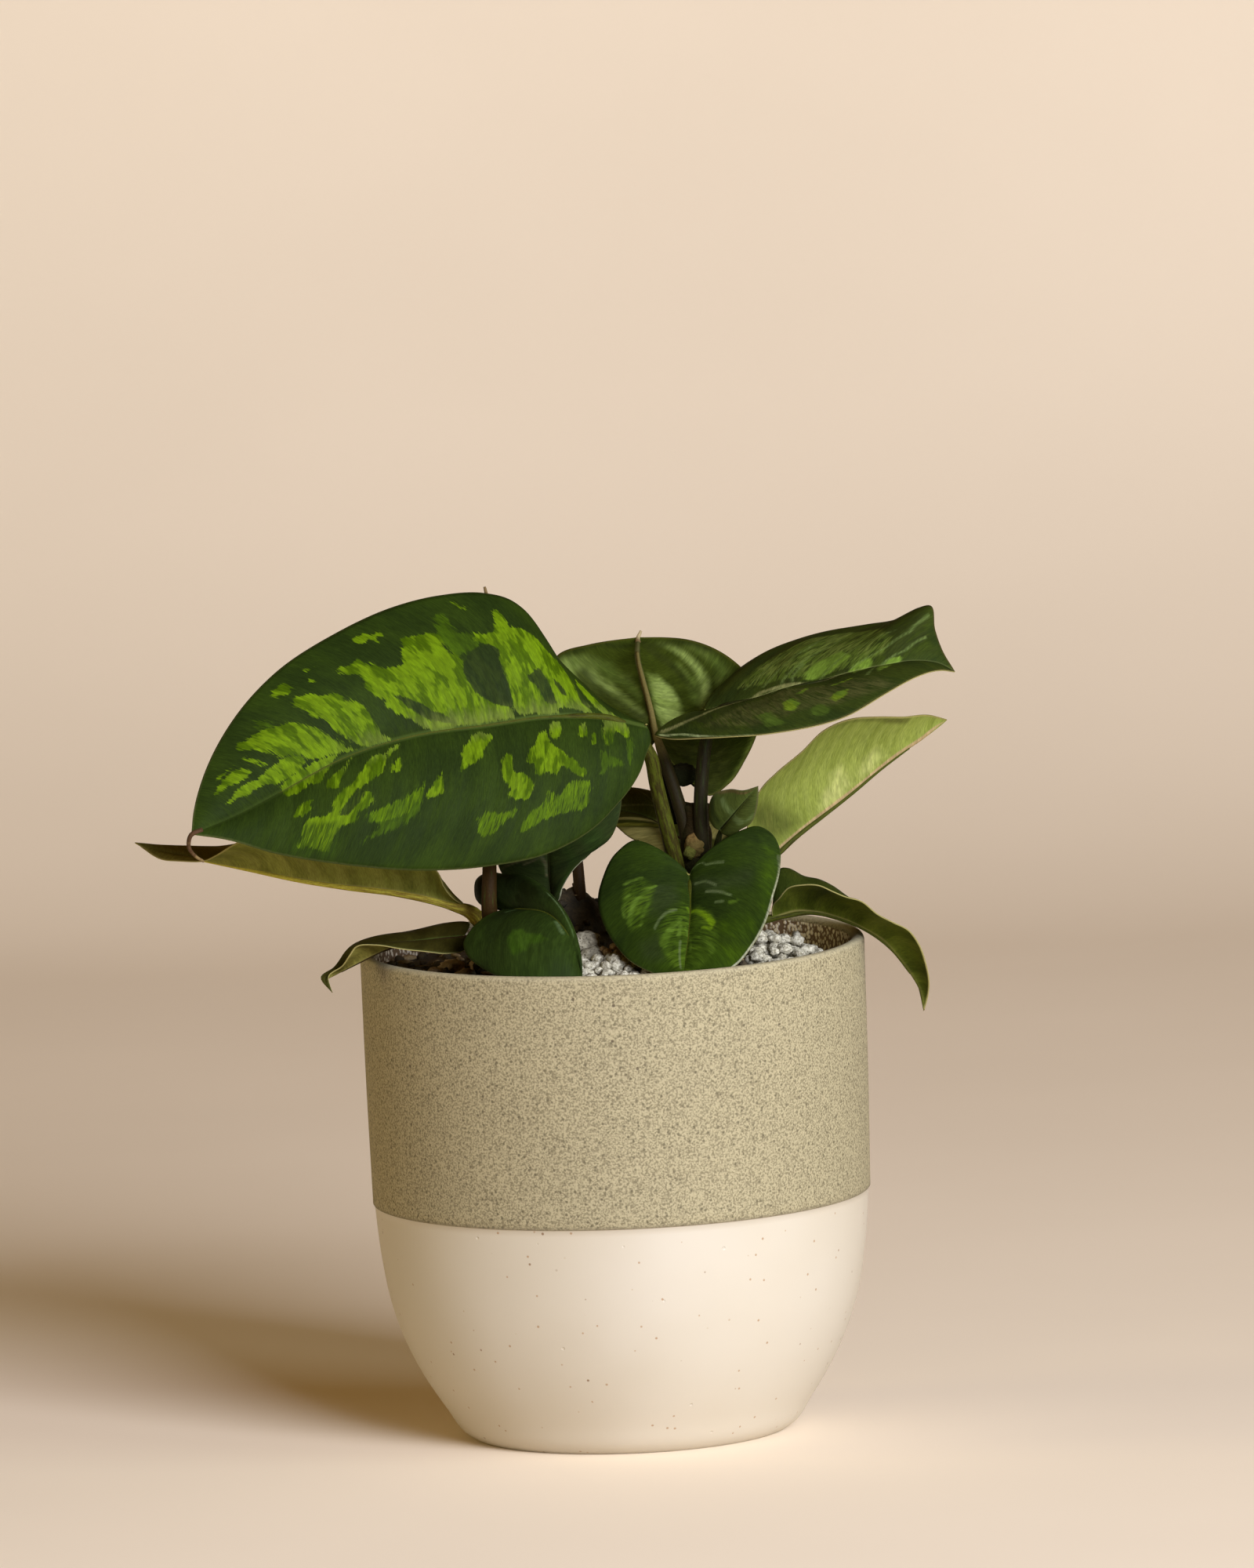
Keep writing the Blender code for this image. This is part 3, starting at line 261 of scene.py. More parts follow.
def curve(points, fractions):
    """Points of a smooth curve through the given ones, at fractions of its length."""
    p = np.array(points, dtype=float)
    p = np.vstack([2 * p[0] - p[1], p, 2 * p[-1] - p[-2]])
    dense = []
    for i in range(1, len(p) - 2):
        gaps = [max(np.linalg.norm(p[i + k] - p[i + k - 1]), 1e-6) for k in range(3)]
        before = (p[i] - p[i - 1]) / gaps[0]
        chord = (p[i + 1] - p[i]) / gaps[1]
        after = (p[i + 2] - p[i + 1]) / gaps[2]
        start = (before * gaps[1] + chord * gaps[0]) / (gaps[0] + gaps[1]) * gaps[1]
        end = (chord * gaps[2] + after * gaps[1]) / (gaps[1] + gaps[2]) * gaps[1]
        for t in np.linspace(0.0, 1.0, 16, endpoint=False):
            dense.append((2 * t**3 - 3 * t**2 + 1) * p[i] + (t**3 - 2 * t**2 + t) * start
                         + (3 * t**2 - 2 * t**3) * p[i + 1] + (t**3 - t**2) * end)
    dense.append(p[-2])
    dense = np.array(dense)
    run = np.concatenate([[0.0], np.cumsum(np.linalg.norm(np.diff(dense, axis=0), axis=1))])
    wanted = np.asarray(fractions) * run[-1]
    return np.stack([np.interp(wanted, run, dense[:, k]) for k in range(3)], axis=1)


def unit(v):
    """Vectors at length one."""
    return v / np.maximum(np.linalg.norm(v, axis=-1, keepdims=True), 1e-9)


def blade_halves(leaf, rows, shares):
    """Both halves of a blade as grids of points, with the up direction of every row."""
    steps = np.linspace(0.0, 1.0, rows + 1)
    along = np.clip((steps - leaf["lobe"]) / (1.0 - leaf["lobe"]), 0.0, 1.0) ** 1.15
    centre = curve(leaf["midrib"], along)
    ahead = unit(curve(leaf["midrib"], np.minimum(along + 0.03, 1.0))
                 - curve(leaf["midrib"], np.maximum(along - 0.03, 0.0)))
    grids = []
    ups = []
    for side, sign, bulge in (("right", 1.0, leaf["bulge"][0]), ("left", -1.0, leaf["bulge"][1])):
        ends = [leaf["midrib"][0]] + leaf[side] + [leaf["midrib"][-1]]
        across = curve(ends, steps) - centre
        reach = np.linalg.norm(across, axis=1)
        up = sign * np.cross(across, ahead)
        good = np.linalg.norm(up, axis=1) > 0.4 * np.maximum(reach, 1.0)
        up = unit(up)
        known = np.flatnonzero(good)
        up = unit(np.stack([np.interp(np.arange(rows + 1), known, up[known, k]) for k in range(3)], axis=1))
        size, turns, start = leaf["wave"]
        ripple = size * np.sin(2 * math.pi * turns * steps + start) * np.sin(math.pi * steps)
        sweep = VEIN_SWEEP * np.clip(along / 0.35, 0.0, 1.0)
        fade = np.clip(steps / max(leaf.get("calm", 0.0), 1e-6), 0.0, 1.0)
        swell = bulge * fade
        ripple = ripple * fade
        grid = []
        for t in shares:
            arch = 4 * t * (1 - t)
            grid.append(centre + across * t - ahead * (reach * sweep * arch)[:, None]
                        + up * (reach * swell * arch + ripple * t * t)[:, None])
        grids.append(np.stack(grid, axis=1))
        ups.append(up)
    return grids, ups, steps, along


def stem_path(leaf):
    """The stem from the crown to the blade and on along the midrib's underside."""
    base, neck, end = leaf["stem_radii"]
    start = curve(leaf["stem"], np.linspace(0.0, 1.0, STEM_STATIONS))
    rows = leaf["rows"]
    _, ups, _, along = blade_halves(leaf, rows, (0.0, 1.0))
    normals = unit(ups[0] + ups[1])
    marks = np.linspace(*MIDRIB_SPAN, STEM_STATIONS)
    first = int(np.flatnonzero(along <= 0.0)[-1])
    up = unit(np.stack([np.interp(marks, along[first:], normals[first:, k]) for k in range(3)], axis=1))
    thick = np.linspace(neck * 0.5, end * 0.8, len(marks))
    spots = curve(leaf["midrib"], marks) - up * np.maximum(thick - 0.2, 0.1)[:, None]
    radii = np.concatenate([np.linspace(base, neck, len(start)), thick])
    return np.vstack([start, spots]), radii


class Shape:
    """A mesh in the making: points in millimetres, faces by material, numbers on the points."""

    def __init__(self):
        self.points = []
        self.faces = []
        self.materials = []
        self.numbers = {}
        self.count = 0

    def add(self, points, faces, material=0, **numbers):
        """Adds points and faces; a number that isn't given is nought there."""
        points = np.asarray(points, dtype=float)
        for key in set(self.numbers) | set(numbers):
            before = self.numbers.setdefault(key, [np.zeros(self.count)] if self.count else [])
            before.append(np.broadcast_to(np.asarray(numbers.get(key, 0.0), dtype=float), (len(points),)))
        self.points.append(points)
        self.faces += [tuple(int(v) + self.count for v in f) for f in faces]
        self.materials += [material] * len(faces)
        self.count += len(points)

    def build(self, name, surfaces, node):
        """Turns it into a piece that rides on the pot's body."""
        mesh = bpy.data.meshes.new(name)
        points = np.vstack(self.points) * MM
        mesh.from_pydata(points.tolist(), [], self.faces)
        for surface in surfaces:
            mesh.materials.append(surface)
        mesh.polygons.foreach_set("material_index", np.array(self.materials, dtype=np.int32))
        mesh.polygons.foreach_set("use_smooth", np.full(len(self.faces), True))
        for key, parts in self.numbers.items():
            mesh.attributes.new(key, "FLOAT", "POINT").data.foreach_set("value", np.concatenate(parts))
        mesh.update()
        made = bpy.data.objects.new(name, mesh)
        bpy.context.scene.collection.objects.link(made)
        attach(made, BODY)
        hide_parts(node)


def tube(points, radii, sides, stations):
    """A round stem's points and faces, its run from 0 to 1 and its turn round the axis."""
    p = np.array(points, dtype=float)
    run = np.concatenate([[0.0], np.cumsum(np.linalg.norm(np.diff(p, axis=0), axis=1))])
    share = np.linspace(0.0, 1.0, stations + 1)
    fine = curve(p, share)
    thick = np.interp(share * run[-1], run, radii)
    ahead = unit(np.gradient(fine, axis=0))
    side = unit(np.cross(ahead[0], (0.0, 1.0, 0.25)))
    ring = []
    for i in range(len(fine)):
        side = unit(side - ahead[i] * np.dot(side, ahead[i]))
        other = np.cross(ahead[i], side)
        for k in range(sides):
            a = 2 * math.pi * k / sides
            ring.append(fine[i] + thick[i] * (math.cos(a) * side + math.sin(a) * other))
    faces = []
    for i in range(stations):
        for k in range(sides):
            n = (k + 1) % sides
            faces.append((i * sides + k, i * sides + n, (i + 1) * sides + n, (i + 1) * sides + k))
    faces.append(tuple(reversed(range(sides))))
    faces.append(tuple(range(stations * sides, (stations + 1) * sides)))
    return np.array(ring), faces, np.repeat(share, sides), run[-1]


# Materials

def rgb(red, green, blue):
    """A colour by its 0 to 255 screen values."""
    linear = [((v / 255 + 0.055) / 1.055) ** 2.4 if v > 10 else v / 255 / 12.92 for v in (red, green, blue)]
    return (*linear, 1.0)


class Graph:
    """Short names for the nodes of one material."""

    def __init__(self, name, roughness=0.5, **sockets):
        self.material = bpy.data.materials.new(name)
        self.material.use_nodes = True
        self.nodes = self.material.node_tree.nodes
        self.links = self.material.node_tree.links
        self.shader = self.nodes["Principled BSDF"]
        self.shader.inputs["Roughness"].default_value = roughness
        for key, value in sockets.items():
            self.shader.inputs[key.replace("_", " ")].default_value = value

    def put(self, socket, value):
        """Feeds a socket with another one's output or with a value."""
        if isinstance(value, bpy.types.NodeSocket):
            self.links.new(value, socket)
        elif socket.type == "VECTOR":
            socket.default_value = value[:3]
        else:
            socket.default_value = value

    def number(self, name):
        """A number stored on the mesh's points."""
        made = self.nodes.new("ShaderNodeAttribute")
        made.attribute_name = name
        return made.outputs["Fac"]

    def place(self):
        """The position on the object, in metres."""
        return self.nodes.new("ShaderNodeTexCoord").outputs["Object"]

    def vector(self, x, y, z=0.0):
        """A vector from three numbers."""
        made = self.nodes.new("ShaderNodeCombineXYZ")
        for socket, value in zip(made.inputs, (x, y, z)):
            self.put(socket, value)
        return made.outputs[0]

    def parts(self, vector):
        """A vector's three numbers."""
        made = self.nodes.new("ShaderNodeSeparateXYZ")
        self.put(made.inputs[0], vector)
        return made.outputs

    def maths(self, what, a, b=0.0, c=0.0):
        """One sum, product or function of numbers."""
        made = self.nodes.new("ShaderNodeMath")
        made.operation = what
        for socket, value in zip(made.inputs, (a, b, c)):
            self.put(socket, value)
        return made.outputs[0]

    def add(self, *values):
        """The sum of numbers."""
        total = values[0]
        for value in values[1:]:
            total = self.maths("ADD", total, value)
        return total

    def times(self, a, b):
        """A product."""
        return self.maths("MULTIPLY", a, b)

    def swing(self, value, size):
        """A 0 to 1 number turned into one from -size/2 to size/2."""
        return self.maths("MULTIPLY_ADD", value, size, -size / 2)

    def step(self, value, low, high, start=0.0, end=1.0):
        """A soft step from start to end as the value goes from low to high."""
        made = self.nodes.new("ShaderNodeMapRange")
        made.interpolation_type = "SMOOTHSTEP"
        for socket, given in zip(made.inputs, (value, low, high, start, end)):
            self.put(socket, given)
        return made.outputs[0]

    def noise(self, place, scale, detail=2.0, roughness=0.5, stretch=None):
        """Smooth noise from 0 to 1."""
        made = self.nodes.new("ShaderNodeTexNoise")
        if stretch:
            spread = self.nodes.new("ShaderNodeVectorMath")
            spread.operation = "MULTIPLY"
            self.put(spread.inputs[0], place)
            spread.inputs[1].default_value = stretch
            place = spread.outputs[0]
        self.put(made.inputs["Vector"], place)
        made.inputs["Scale"].default_value = scale
        made.inputs["Detail"].default_value = detail
        made.inputs["Roughness"].default_value = roughness
        return made.outputs["Fac"]

    def cells(self, place, scale):
        """Distance to the nearest of scattered points, and a colour for each."""
        made = self.nodes.new("ShaderNodeTexVoronoi")
        self.put(made.inputs["Vector"], place)
        made.inputs["Scale"].default_value = scale
        return made.outputs["Distance"], made.outputs["Color"]

    def specks(self, place, scale, bare, size, strength):
        """The cover of scattered dots: the cells in which there is none, and the dots' size."""
        near, tint = self.cells(place, scale)
        some = self.step(self.parts(tint)[0], *bare)
        return self.times(self.step(near, *size, strength, 0.0), some)

    def mix(self, share, a, b):
        """Two colours mixed."""
        made = self.nodes.new("ShaderNodeMix")
        made.data_type = "RGBA"
        self.put(made.inputs[0], share)
        self.put(made.inputs[6], a)
        self.put(made.inputs[7], b)
        return made.outputs[2]

    def shade(self, colour, share, low, high):
        """A colour made darker or lighter by a 0 to 1 number."""
        grey = self.step(share, 0.0, 1.0, low, high)
        made = self.nodes.new("ShaderNodeVectorMath")
        made.operation = "SCALE"
        self.put(made.inputs[0], colour)
        self.put(made.inputs["Scale"], grey)
        return made.outputs[0]

    def bump(self, height, size, strength=1.0):
        """Relief: height from 0 to 1 times size in metres."""
        made = self.nodes.new("ShaderNodeBump")
        made.inputs["Strength"].default_value = strength
        made.inputs["Distance"].default_value = size
        self.put(made.inputs["Height"], height)
        before = self.shader.inputs["Normal"]
        if before.is_linked:
            self.links.new(before.links[0].from_socket, made.inputs["Normal"])
        self.links.new(made.outputs[0], before)

    def finish(self, colour, roughness=None):
        """Sets the shader's colour and gives the material back."""
        self.put(self.shader.inputs["Base Color"], colour)
        if roughness is not None:
            self.put(self.shader.inputs["Roughness"], roughness)
        return self.material


def blade_surface(name, look, inks):
    """A blade's skin: mottled ground, painted areas drawn out along the veins, midrib and margin."""
    rough = look["rough"]
    g = Graph(name, rough, Specular_IOR_Level=look["gloss"])
    across, along, rib = g.number("across"), g.number("along"), g.number("rib")
    vein = g.vector(across, along, g.number("side"))
    streak = g.noise(vein, 1.0, 3.0, 0.55, (0.80, 0.10, 3.0))
    fine = g.noise(vein, 1.0, 2.0, 0.5, (3.2, 0.5, 3.0))
    hair = g.noise(vein, 1.0, 3.0, 0.6, (1.9, 0.16, 3.0))
    cloud = g.noise(vein, 1.0, 2.0, 0.5, (0.10, 0.05, 3.0))
    block = g.noise(vein, 1.0, 3.0, 0.6, (0.26, 0.075, 3.0))
    bent = g.vector(g.add(g.times(across, 1.1), g.swing(fine, 1.6)), g.times(along, 0.26), g.number("side"))
    cell, _ = g.cells(bent, 1.0)
    ground = g.mix(g.step(g.add(cloud, g.swing(streak, 0.4)), 0.32, 0.68), look["dark"], look["mid"])
    # lighter bands between the lateral veins: partly the veins' own pattern, partly painted shade of the vein
    # relief
    if "bands" in look:
        colour, width, share = look["bands"]
        wave = g.maths("SINE", g.times(g.add(across, g.swing(cloud, width * 2)), 2 * math.pi / width))
        lit = g.step(g.add(wave, g.swing(streak, 1.6)), -0.9, 1.3, 0.0, share)
        ground = g.mix(lit, ground, colour)
    ground = g.shade(g.shade(ground, fine, 0.66, 1.36), hair, 0.80, 1.22)
    for painted, tone, other, soft, ragged, share in inks:
        tone = g.mix(g.step(block, 0.44, 0.52), tone, other)
        if "pale" in look:
            fading = g.step(g.number("run"), 0.55, 0.8, 0.6, 0.0)
            near = g.step(g.add(rib, g.swing(streak, 9.0)), 7.0, 1.0, 0.0, fading)
            tone = g.mix(near, tone, look["pale"])
        tone = g.shade(g.shade(tone, streak, 0.82, 1.18), fine, 0.78, 1.22)
        tone = g.shade(tone, g.step(cell, 0.25, 0.75), 1.10, 0.86)
        depth = g.add(g.number(painted), g.swing(streak, ragged), g.swing(fine, ragged * 0.8))
        strokes = g.step(hair, 0.38, 0.54, 0.1, 1.5) if share < 0.6 else g.step(hair, 0.30, 0.50, 0.78, 1.0)
        cover = g.times(g.step(depth, -soft, soft, 0.0, share), strokes)
        ground = g.mix(cover, ground, tone)
    rib_colour, rib_width, rib_share = look["rib"]
    near_base = g.step(g.number("run"), 0.15, 1.0, rib_share, rib_share * 0.2)
    near = g.step(g.add(rib, g.swing(fine, 0.5)), rib_width, rib_width * 0.3, 0.0, near_base)
    ground = g.mix(near, ground, rib_colour)
    edge_colour, edge_width, edge_share = look["edge"]
    rim = g.add(g.number("edge"), g.swing(streak, edge_width))
    ground = g.mix(g.step(rim, edge_width * 1.2, edge_width * 0.2, 0.0, edge_share), ground, edge_colour)
    g.bump(g.add(g.times(streak, 0.6), g.times(fine, 0.4)), 0.00022, 0.6)
    return g.finish(ground, g.step(streak, 0.2, 0.8, rough - 0.04, rough + 0.08))


def stem_surface(name, green, brown, brown_share, on_blade=None):
    """A leaf stem: green with brown or red flecks running along it, another tone where it joins the blade."""
    g = Graph(name, 0.6, Specular_IOR_Level=0.06)
    run, turn = g.number("run"), g.number("turn")
    place = g.vector(turn, run, 0.0)
    fleck = g.noise(place, 1.0, 3.0, 0.6, (2.6, 0.16, 1.0))
    fine = g.noise(g.place(), 1500.0, 2.0)
    share = g.step(g.add(fleck, g.swing(g.number("base"), -0.3)), 0.75 - brown_share, 0.95 - brown_share)
    colour = g.mix(share, green, brown)
    if on_blade:
        colour = g.mix(g.step(g.number("base"), 0.40, 0.52), colour, on_blade)
    colour = g.shade(colour, fine, 0.75, 1.25)
    g.bump(g.add(fleck, g.times(fine, 0.3)), 0.0003, 0.5)
    return g.finish(colour)


# Leaves

def mark_depth(s, t, length, reach, marks):
    """Millimetres inside (plus) or outside (minus) the nearest mark of a blade's half."""
    depth = np.full(s.shape, -60.0)
    x, y = s * length, t * reach
    for path, width in marks:
        inside = np.zeros(s.shape, dtype=bool)
        near = np.full(s.shape, 1e9)
        segments = list(zip(path, path[1:] + path[:1] if width is None else path[1:]))
        for k, (a, b) in enumerate(segments):
            ax, ay = a[0] * length, a[1] * reach
            dx, dy = b[0] * length - ax, b[1] * reach - ay
            share = np.clip(((x - ax) * dx + (y - ay) * dy) / np.maximum(dx * dx + dy * dy, 1e-9), 0, 1)
            gap = np.hypot(x - ax - share * dx, y - ay - share * dy)
            if width is None:
                near = np.minimum(near, gap)
                if a[1] != b[1]:
                    crosses = (a[1] > t) != (b[1] > t)
                    inside ^= crosses & (s < (b[0] - a[0]) * (t - a[1]) / (b[1] - a[1]) + a[0])
            else:
                wide = width[0] + (width[1] - width[0]) * (k + share) / len(segments)
                depth = np.maximum(depth, wide - gap)
        if width is None:
            depth = np.maximum(depth, np.where(inside, near, -near))
    return depth


def make_leaf(name, leaf, look, inks, rows, cols):
    """One leaf: a thin veined blade, its stem and its dry tip."""
    shares = np.linspace(0.0, 1.0, cols + 1) ** 1.5
    grids, ups, steps, along = blade_halves(leaf, rows, shares)
    length = np.linalg.norm(np.diff(curve(leaf["midrib"], np.linspace(0, 1, 60)), axis=0), axis=1).sum()
    index = {}
    points, lift, numbers = [], [], []
    faces = []
    for side, grid, up, flip in ((1.0, grids[0], ups[0], False), (-1.0, grids[1], ups[1], True)):
        reach = np.linalg.norm(grid[:, -1] - grid[:, 0], axis=1)
        s = np.repeat(steps[:, None], cols + 1, axis=1)
        t = np.repeat(shares[None, :], rows + 1, axis=0)
        far = t * reach[:, None]
        slant = s * length - VEIN_SLANT * far
        wide = np.maximum(reach, 6.0)[:, None]
        depths = [mark_depth(s, side * t, length, wide, ink[-1]) for ink in inks]
        fade = np.clip(far / VEIN_FADE[0], 0, 1) * np.clip((reach[:, None] - far) / VEIN_FADE[1], 0, 1)
        ridge = np.abs(np.sin(math.pi * slant / VEIN_PITCH)) ** 0.6
        relief = VEIN_RELIEF * (ridge - 0.6) * fade
        groove = -GROOVE_DEPTH * np.exp(-(far / GROOVE_WIDTH) ** 2) * np.clip(1.3 - s, 0, 1)
        ids = np.zeros(grid.shape[:2], dtype=int)
        for i in range(rows + 1):
            for j in range(cols + 1):
                key = tuple(np.round(grid[i, j], 3))
                if key not in index:
                    index[key] = len(points)
                    points.append(grid[i, j])
                    lift.append(relief[i, j] + groove[i, j])
                    numbers.append([slant[i, j], far[i, j], side, far[i, j], reach[i] - far[i, j], s[i, j]]
                                   + [depth[i, j] for depth in depths])
                ids[i, j] = index[key]
        for i in range(rows):
            for j in range(cols):
                corners = [ids[i, j], ids[i, j + 1], ids[i + 1, j + 1], ids[i + 1, j]]
                if flip:
                    corners.reverse()
                kept = [c for k, c in enumerate(corners) if c != corners[k - 1]]
                if len(set(kept)) == len(kept) and len(kept) > 2:
                    faces.append(tuple(kept))
    points, lift = np.array(points), np.array(lift)
    names = ["across", "along", "side", "rib", "edge", "run"] + ["ink%d" % k for k in range(len(inks))]
    numbers = dict(zip(names, np.array(numbers).T))
    normal = np.zeros_like(points)
    for f in faces:
        facing = np.cross(points[f[1]] - points[f[0]], points[f[2]] - points[f[0]])
        if len(f) == 4:
            facing = facing + np.cross(points[f[2]] - points[f[0]], points[f[3]] - points[f[0]])
        for v in f:
            normal[v] += facing
    normal = unit(normal)
    middle = points + normal * lift[:, None]
    half = BLADE_HALF - EDGE_THINNING * np.exp(-numbers["edge"] / 1.5)
    shape = Shape()
    shape.add(middle + normal * half[:, None], faces, 0, **numbers)
    shape.add(middle - normal * half[:, None], [tuple(reversed(f)) for f in faces], 1, **numbers)
    directed = {(f[k], f[(k + 1) % len(f)]) for f in faces for k in range(len(f))}
    count = len(points)
    rim = [(v, u, u + count, v + count) for u, v in sorted(directed) if (v, u) not in directed]
    shape.faces += rim
    shape.materials += [1] * len(rim)
    path, radii = stem_path(leaf)
    sides, stations = STEM_MESH
    ring, ring_faces, run, total = tube(path, radii, sides, stations)
    shape.add(ring, ring_faces, 2, run=run * total, base=run,
              turn=np.tile(np.arange(sides) * (2 * math.pi / sides), stations + 1))
    if "tail" in leaf:
        ends = [leaf["midrib"][-2], leaf["midrib"][-1]] + leaf["tail"]
        ends[0] = tuple(np.array(ends[1]) * 0.75 + np.array(ends[0]) * 0.25)
        tail, tail_faces, run, total = tube(ends, np.linspace(*TAIL_RADII, len(ends)), *TAIL_MESH)
        shape.add(tail, tail_faces, 3, run=run * total, base=run)
    surfaces = []
    for face in ("upper", "under"):
        own = [("ink%d" % k, *ink[1:-1]) for k, ink in enumerate(inks) if ink[0] in (face, "both")]
        surfaces.append(blade_surface(name + "_" + face, look[face], own))
    surfaces += [stem_surface(name + "_stem", *look["stem"]), stem_surface(name + "_tip", *look["tip"])]
    shape.build(name + "_visual", surfaces, name)


# Markings of the large leaf as outlines (s, t): s runs from base to tip, t from the midrib (0)
# out to the upper margin (1) or the lower one (-1).
BRIGHT = [
    [(.10, .03), (.13, .15), (.16, .33), (.185, .52), (.195, .57), (.20, .45), (.185, .30), (.17, .18),
     (.15, .05)],
    [(.165, .02), (.20, .18), (.21, .36), (.215, .50), (.24, .585), (.275, .60), (.30, .67), (.33, .70),
     (.345, .69), (.35, .78), (.355, .85), (.365, .83), (.37, .72), (.378, .65), (.40, .635), (.41, .66),
     (.42, .60), (.40, .565), (.385, .54), (.378, .49), (.385, .44), (.378, .34), (.37, .26), (.36, .14),
     (.355, .07), (.34, .04), (.30, .03), (.27, .015), (.255, .035), (.262, .06), (.245, .10)],
    [(.35, .02), (.365, .10), (.38, .115), (.40, .14), (.425, .20), (.44, .27), (.45, .35), (.452, .40),
     (.45, .45), (.455, .50), (.46, .52), (.47, .60), (.47, .68), (.475, .72), (.50, .72), (.525, .75),
     (.53, .70), (.535, .66), (.54, .62), (.545, .53), (.56, .545), (.58, .56), (.585, .60), (.60, .66),
     (.605, .72), (.625, .70), (.64, .73), (.645, .69), (.635, .63), (.615, .60), (.62, .50), (.62, .44),
     (.61, .38), (.60, .32), (.60, .27), (.585, .21), (.565, .13), (.545, .07), (.53, .03), (.51, 0),
     (.485, -.005), (.465, .02), (.44, .01)],
    [(.60, .01), (.615, .08), (.625, .15), (.63, .24), (.64, .36), (.66, .45), (.665, .53), (.69, .58),
     (.70, .64), (.72, .69), (.73, .73), (.735, .64), (.725, .55), (.72, .45), (.705, .38), (.70, .27),
     (.685, .18), (.675, .10), (.66, .06), (.645, .01)],
    [(.665, .02), (.69, .08), (.695, .14), (.72, .30), (.74, .44), (.755, .54), (.775, .60), (.79, .66),
     (.81, .72), (.825, .74), (.835, .80), (.845, .80), (.845, .73), (.83, .62), (.82, .52), (.808, .45),
     (.805, .36), (.80, .32), (.79, .30), (.77, .22), (.76, .15), (.74, .10)],
    [(.76, .15), (.77, .22), (.79, .30), (.83, .31), (.86, .30), (.865, .34), (.90, .38), (.92, .33),
     (.915, .28), (.90, .25), (.88, .21), (.86, .215), (.845, .17), (.83, .11), (.80, .10), (.78, .09)],
    [(.70, .06), (.735, .08), (.775, .10), (.80, .10), (.82, .06), (.82, -.05), (.82, -.13), (.80, -.16),
     (.78, -.13), (.775, -.08), (.765, -.13), (.755, -.15), (.74, -.09), (.725, -.03), (.715, .02)],
    [(.825, .36), (.832, .45), (.84, .53), (.845, .63), (.85, .64), (.848, .55), (.84, .46), (.835, .38)],
    [(.855, .42), (.86, .52), (.87, .60), (.885, .66), (.90, .68), (.93, .67), (.92, .60), (.90, .55),
     (.885, .46), (.87, .42)],
    [(.87, .68), (.885, .72), (.90, .78), (.905, .77), (.89, .70)],
    [(.403, .85), (.412, .90), (.415, .94), (.417, .90), (.41, .84)],
    [(.545, .82), (.545, .86), (.56, .85), (.565, .89), (.59, .89), (.595, .85), (.58, .82), (.565, .83),
     (.56, .77), (.555, .82)],
    [(.665, .83), (.68, .87), (.683, .84)],
    [(.715, .82), (.72, .88), (.745, .89), (.745, .82), (.73, .77), (.722, .76)],
    [(.678, .72), (.69, .77), (.692, .73)],
    [(.10, .03), (.10, -.2), (.108, -.32), (.118, -.30), (.128, -.22), (.14, -.18), (.15, -.28), (.165, -.36),
     (.178, -.36), (.178, -.28), (.17, -.15), (.16, -.05), (.152, .02)],
    [(.205, -.07), (.213, -.08), (.225, -.13), (.235, -.18), (.235, -.21), (.222, -.23), (.21, -.16)],
    [(.193, -.20), (.20, -.22), (.212, -.28), (.212, -.32), (.20, -.30)],
    [(.262, -.055), (.275, -.05), (.288, -.07), (.292, -.12), (.297, -.18), (.29, -.20), (.275, -.16),
     (.265, -.11)],
    [(.30, -.115), (.312, -.12), (.325, -.16), (.335, -.21), (.35, -.24), (.362, -.28), (.369, -.34),
     (.352, -.345), (.352, -.38), (.357, -.44), (.348, -.45), (.335, -.42), (.325, -.45), (.312, -.46),
     (.30, -.42), (.285, -.43), (.28, -.48), (.272, -.51), (.255, -.55), (.245, -.53), (.245, -.50),
     (.257, -.47), (.265, -.40), (.28, -.35), (.285, -.30), (.297, -.25), (.305, -.22), (.302, -.17)],
    [(.395, -.245), (.405, -.24), (.42, -.29), (.428, -.36), (.423, -.45), (.415, -.50), (.425, -.55),
     (.41, -.57), (.40, -.58), (.385, -.60), (.37, -.55), (.365, -.50), (.375, -.43), (.385, -.40),
     (.40, -.38), (.402, -.32), (.395, -.29)],
    [(.415, -.08), (.43, -.05), (.445, -.06), (.46, -.10), (.475, -.15), (.49, -.20), (.49, -.24),
     (.50, -.29), (.508, -.34), (.495, -.32), (.48, -.28), (.47, -.28), (.455, -.24), (.44, -.18),
     (.425, -.13), (.413, -.10)],
    [(.535, -.31), (.545, -.34), (.557, -.40), (.575, -.47), (.575, -.50), (.56, -.50), (.548, -.48),
     (.54, -.42), (.54, -.36)],
    [(.588, -.04), (.605, -.055), (.625, -.09), (.642, -.075), (.655, -.11), (.67, -.17), (.685, -.22),
     (.70, -.28), (.72, -.32), (.735, -.38), (.743, -.45), (.745, -.52), (.76, -.56), (.775, -.545),
     (.79, -.57), (.797, -.63), (.80, -.72), (.80, -.82), (.81, -.86), (.80, -.90), (.785, -.87), (.77, -.90),
     (.75, -.90), (.745, -.83), (.74, -.76), (.73, -.68), (.72, -.66), (.705, -.64), (.70, -.56),
     (.68, -.52), (.67, -.48), (.668, -.40), (.685, -.38), (.68, -.32), (.66, -.28), (.64, -.24), (.63, -.18),
     (.62, -.12), (.605, -.085)],
    [(.675, -.01), (.69, -.05), (.71, -.10), (.73, -.14), (.742, -.17), (.745, -.24), (.74, -.28),
     (.725, -.285), (.72, -.22), (.705, -.15), (.69, -.08)],
    [(.60, -.16), (.612, -.18), (.622, -.22), (.625, -.26), (.618, -.27), (.605, -.23)],
    [(.775, -.33), (.79, -.315), (.80, -.35), (.81, -.41), (.815, -.49), (.805, -.50), (.79, -.48),
     (.78, -.42), (.785, -.38)],
]
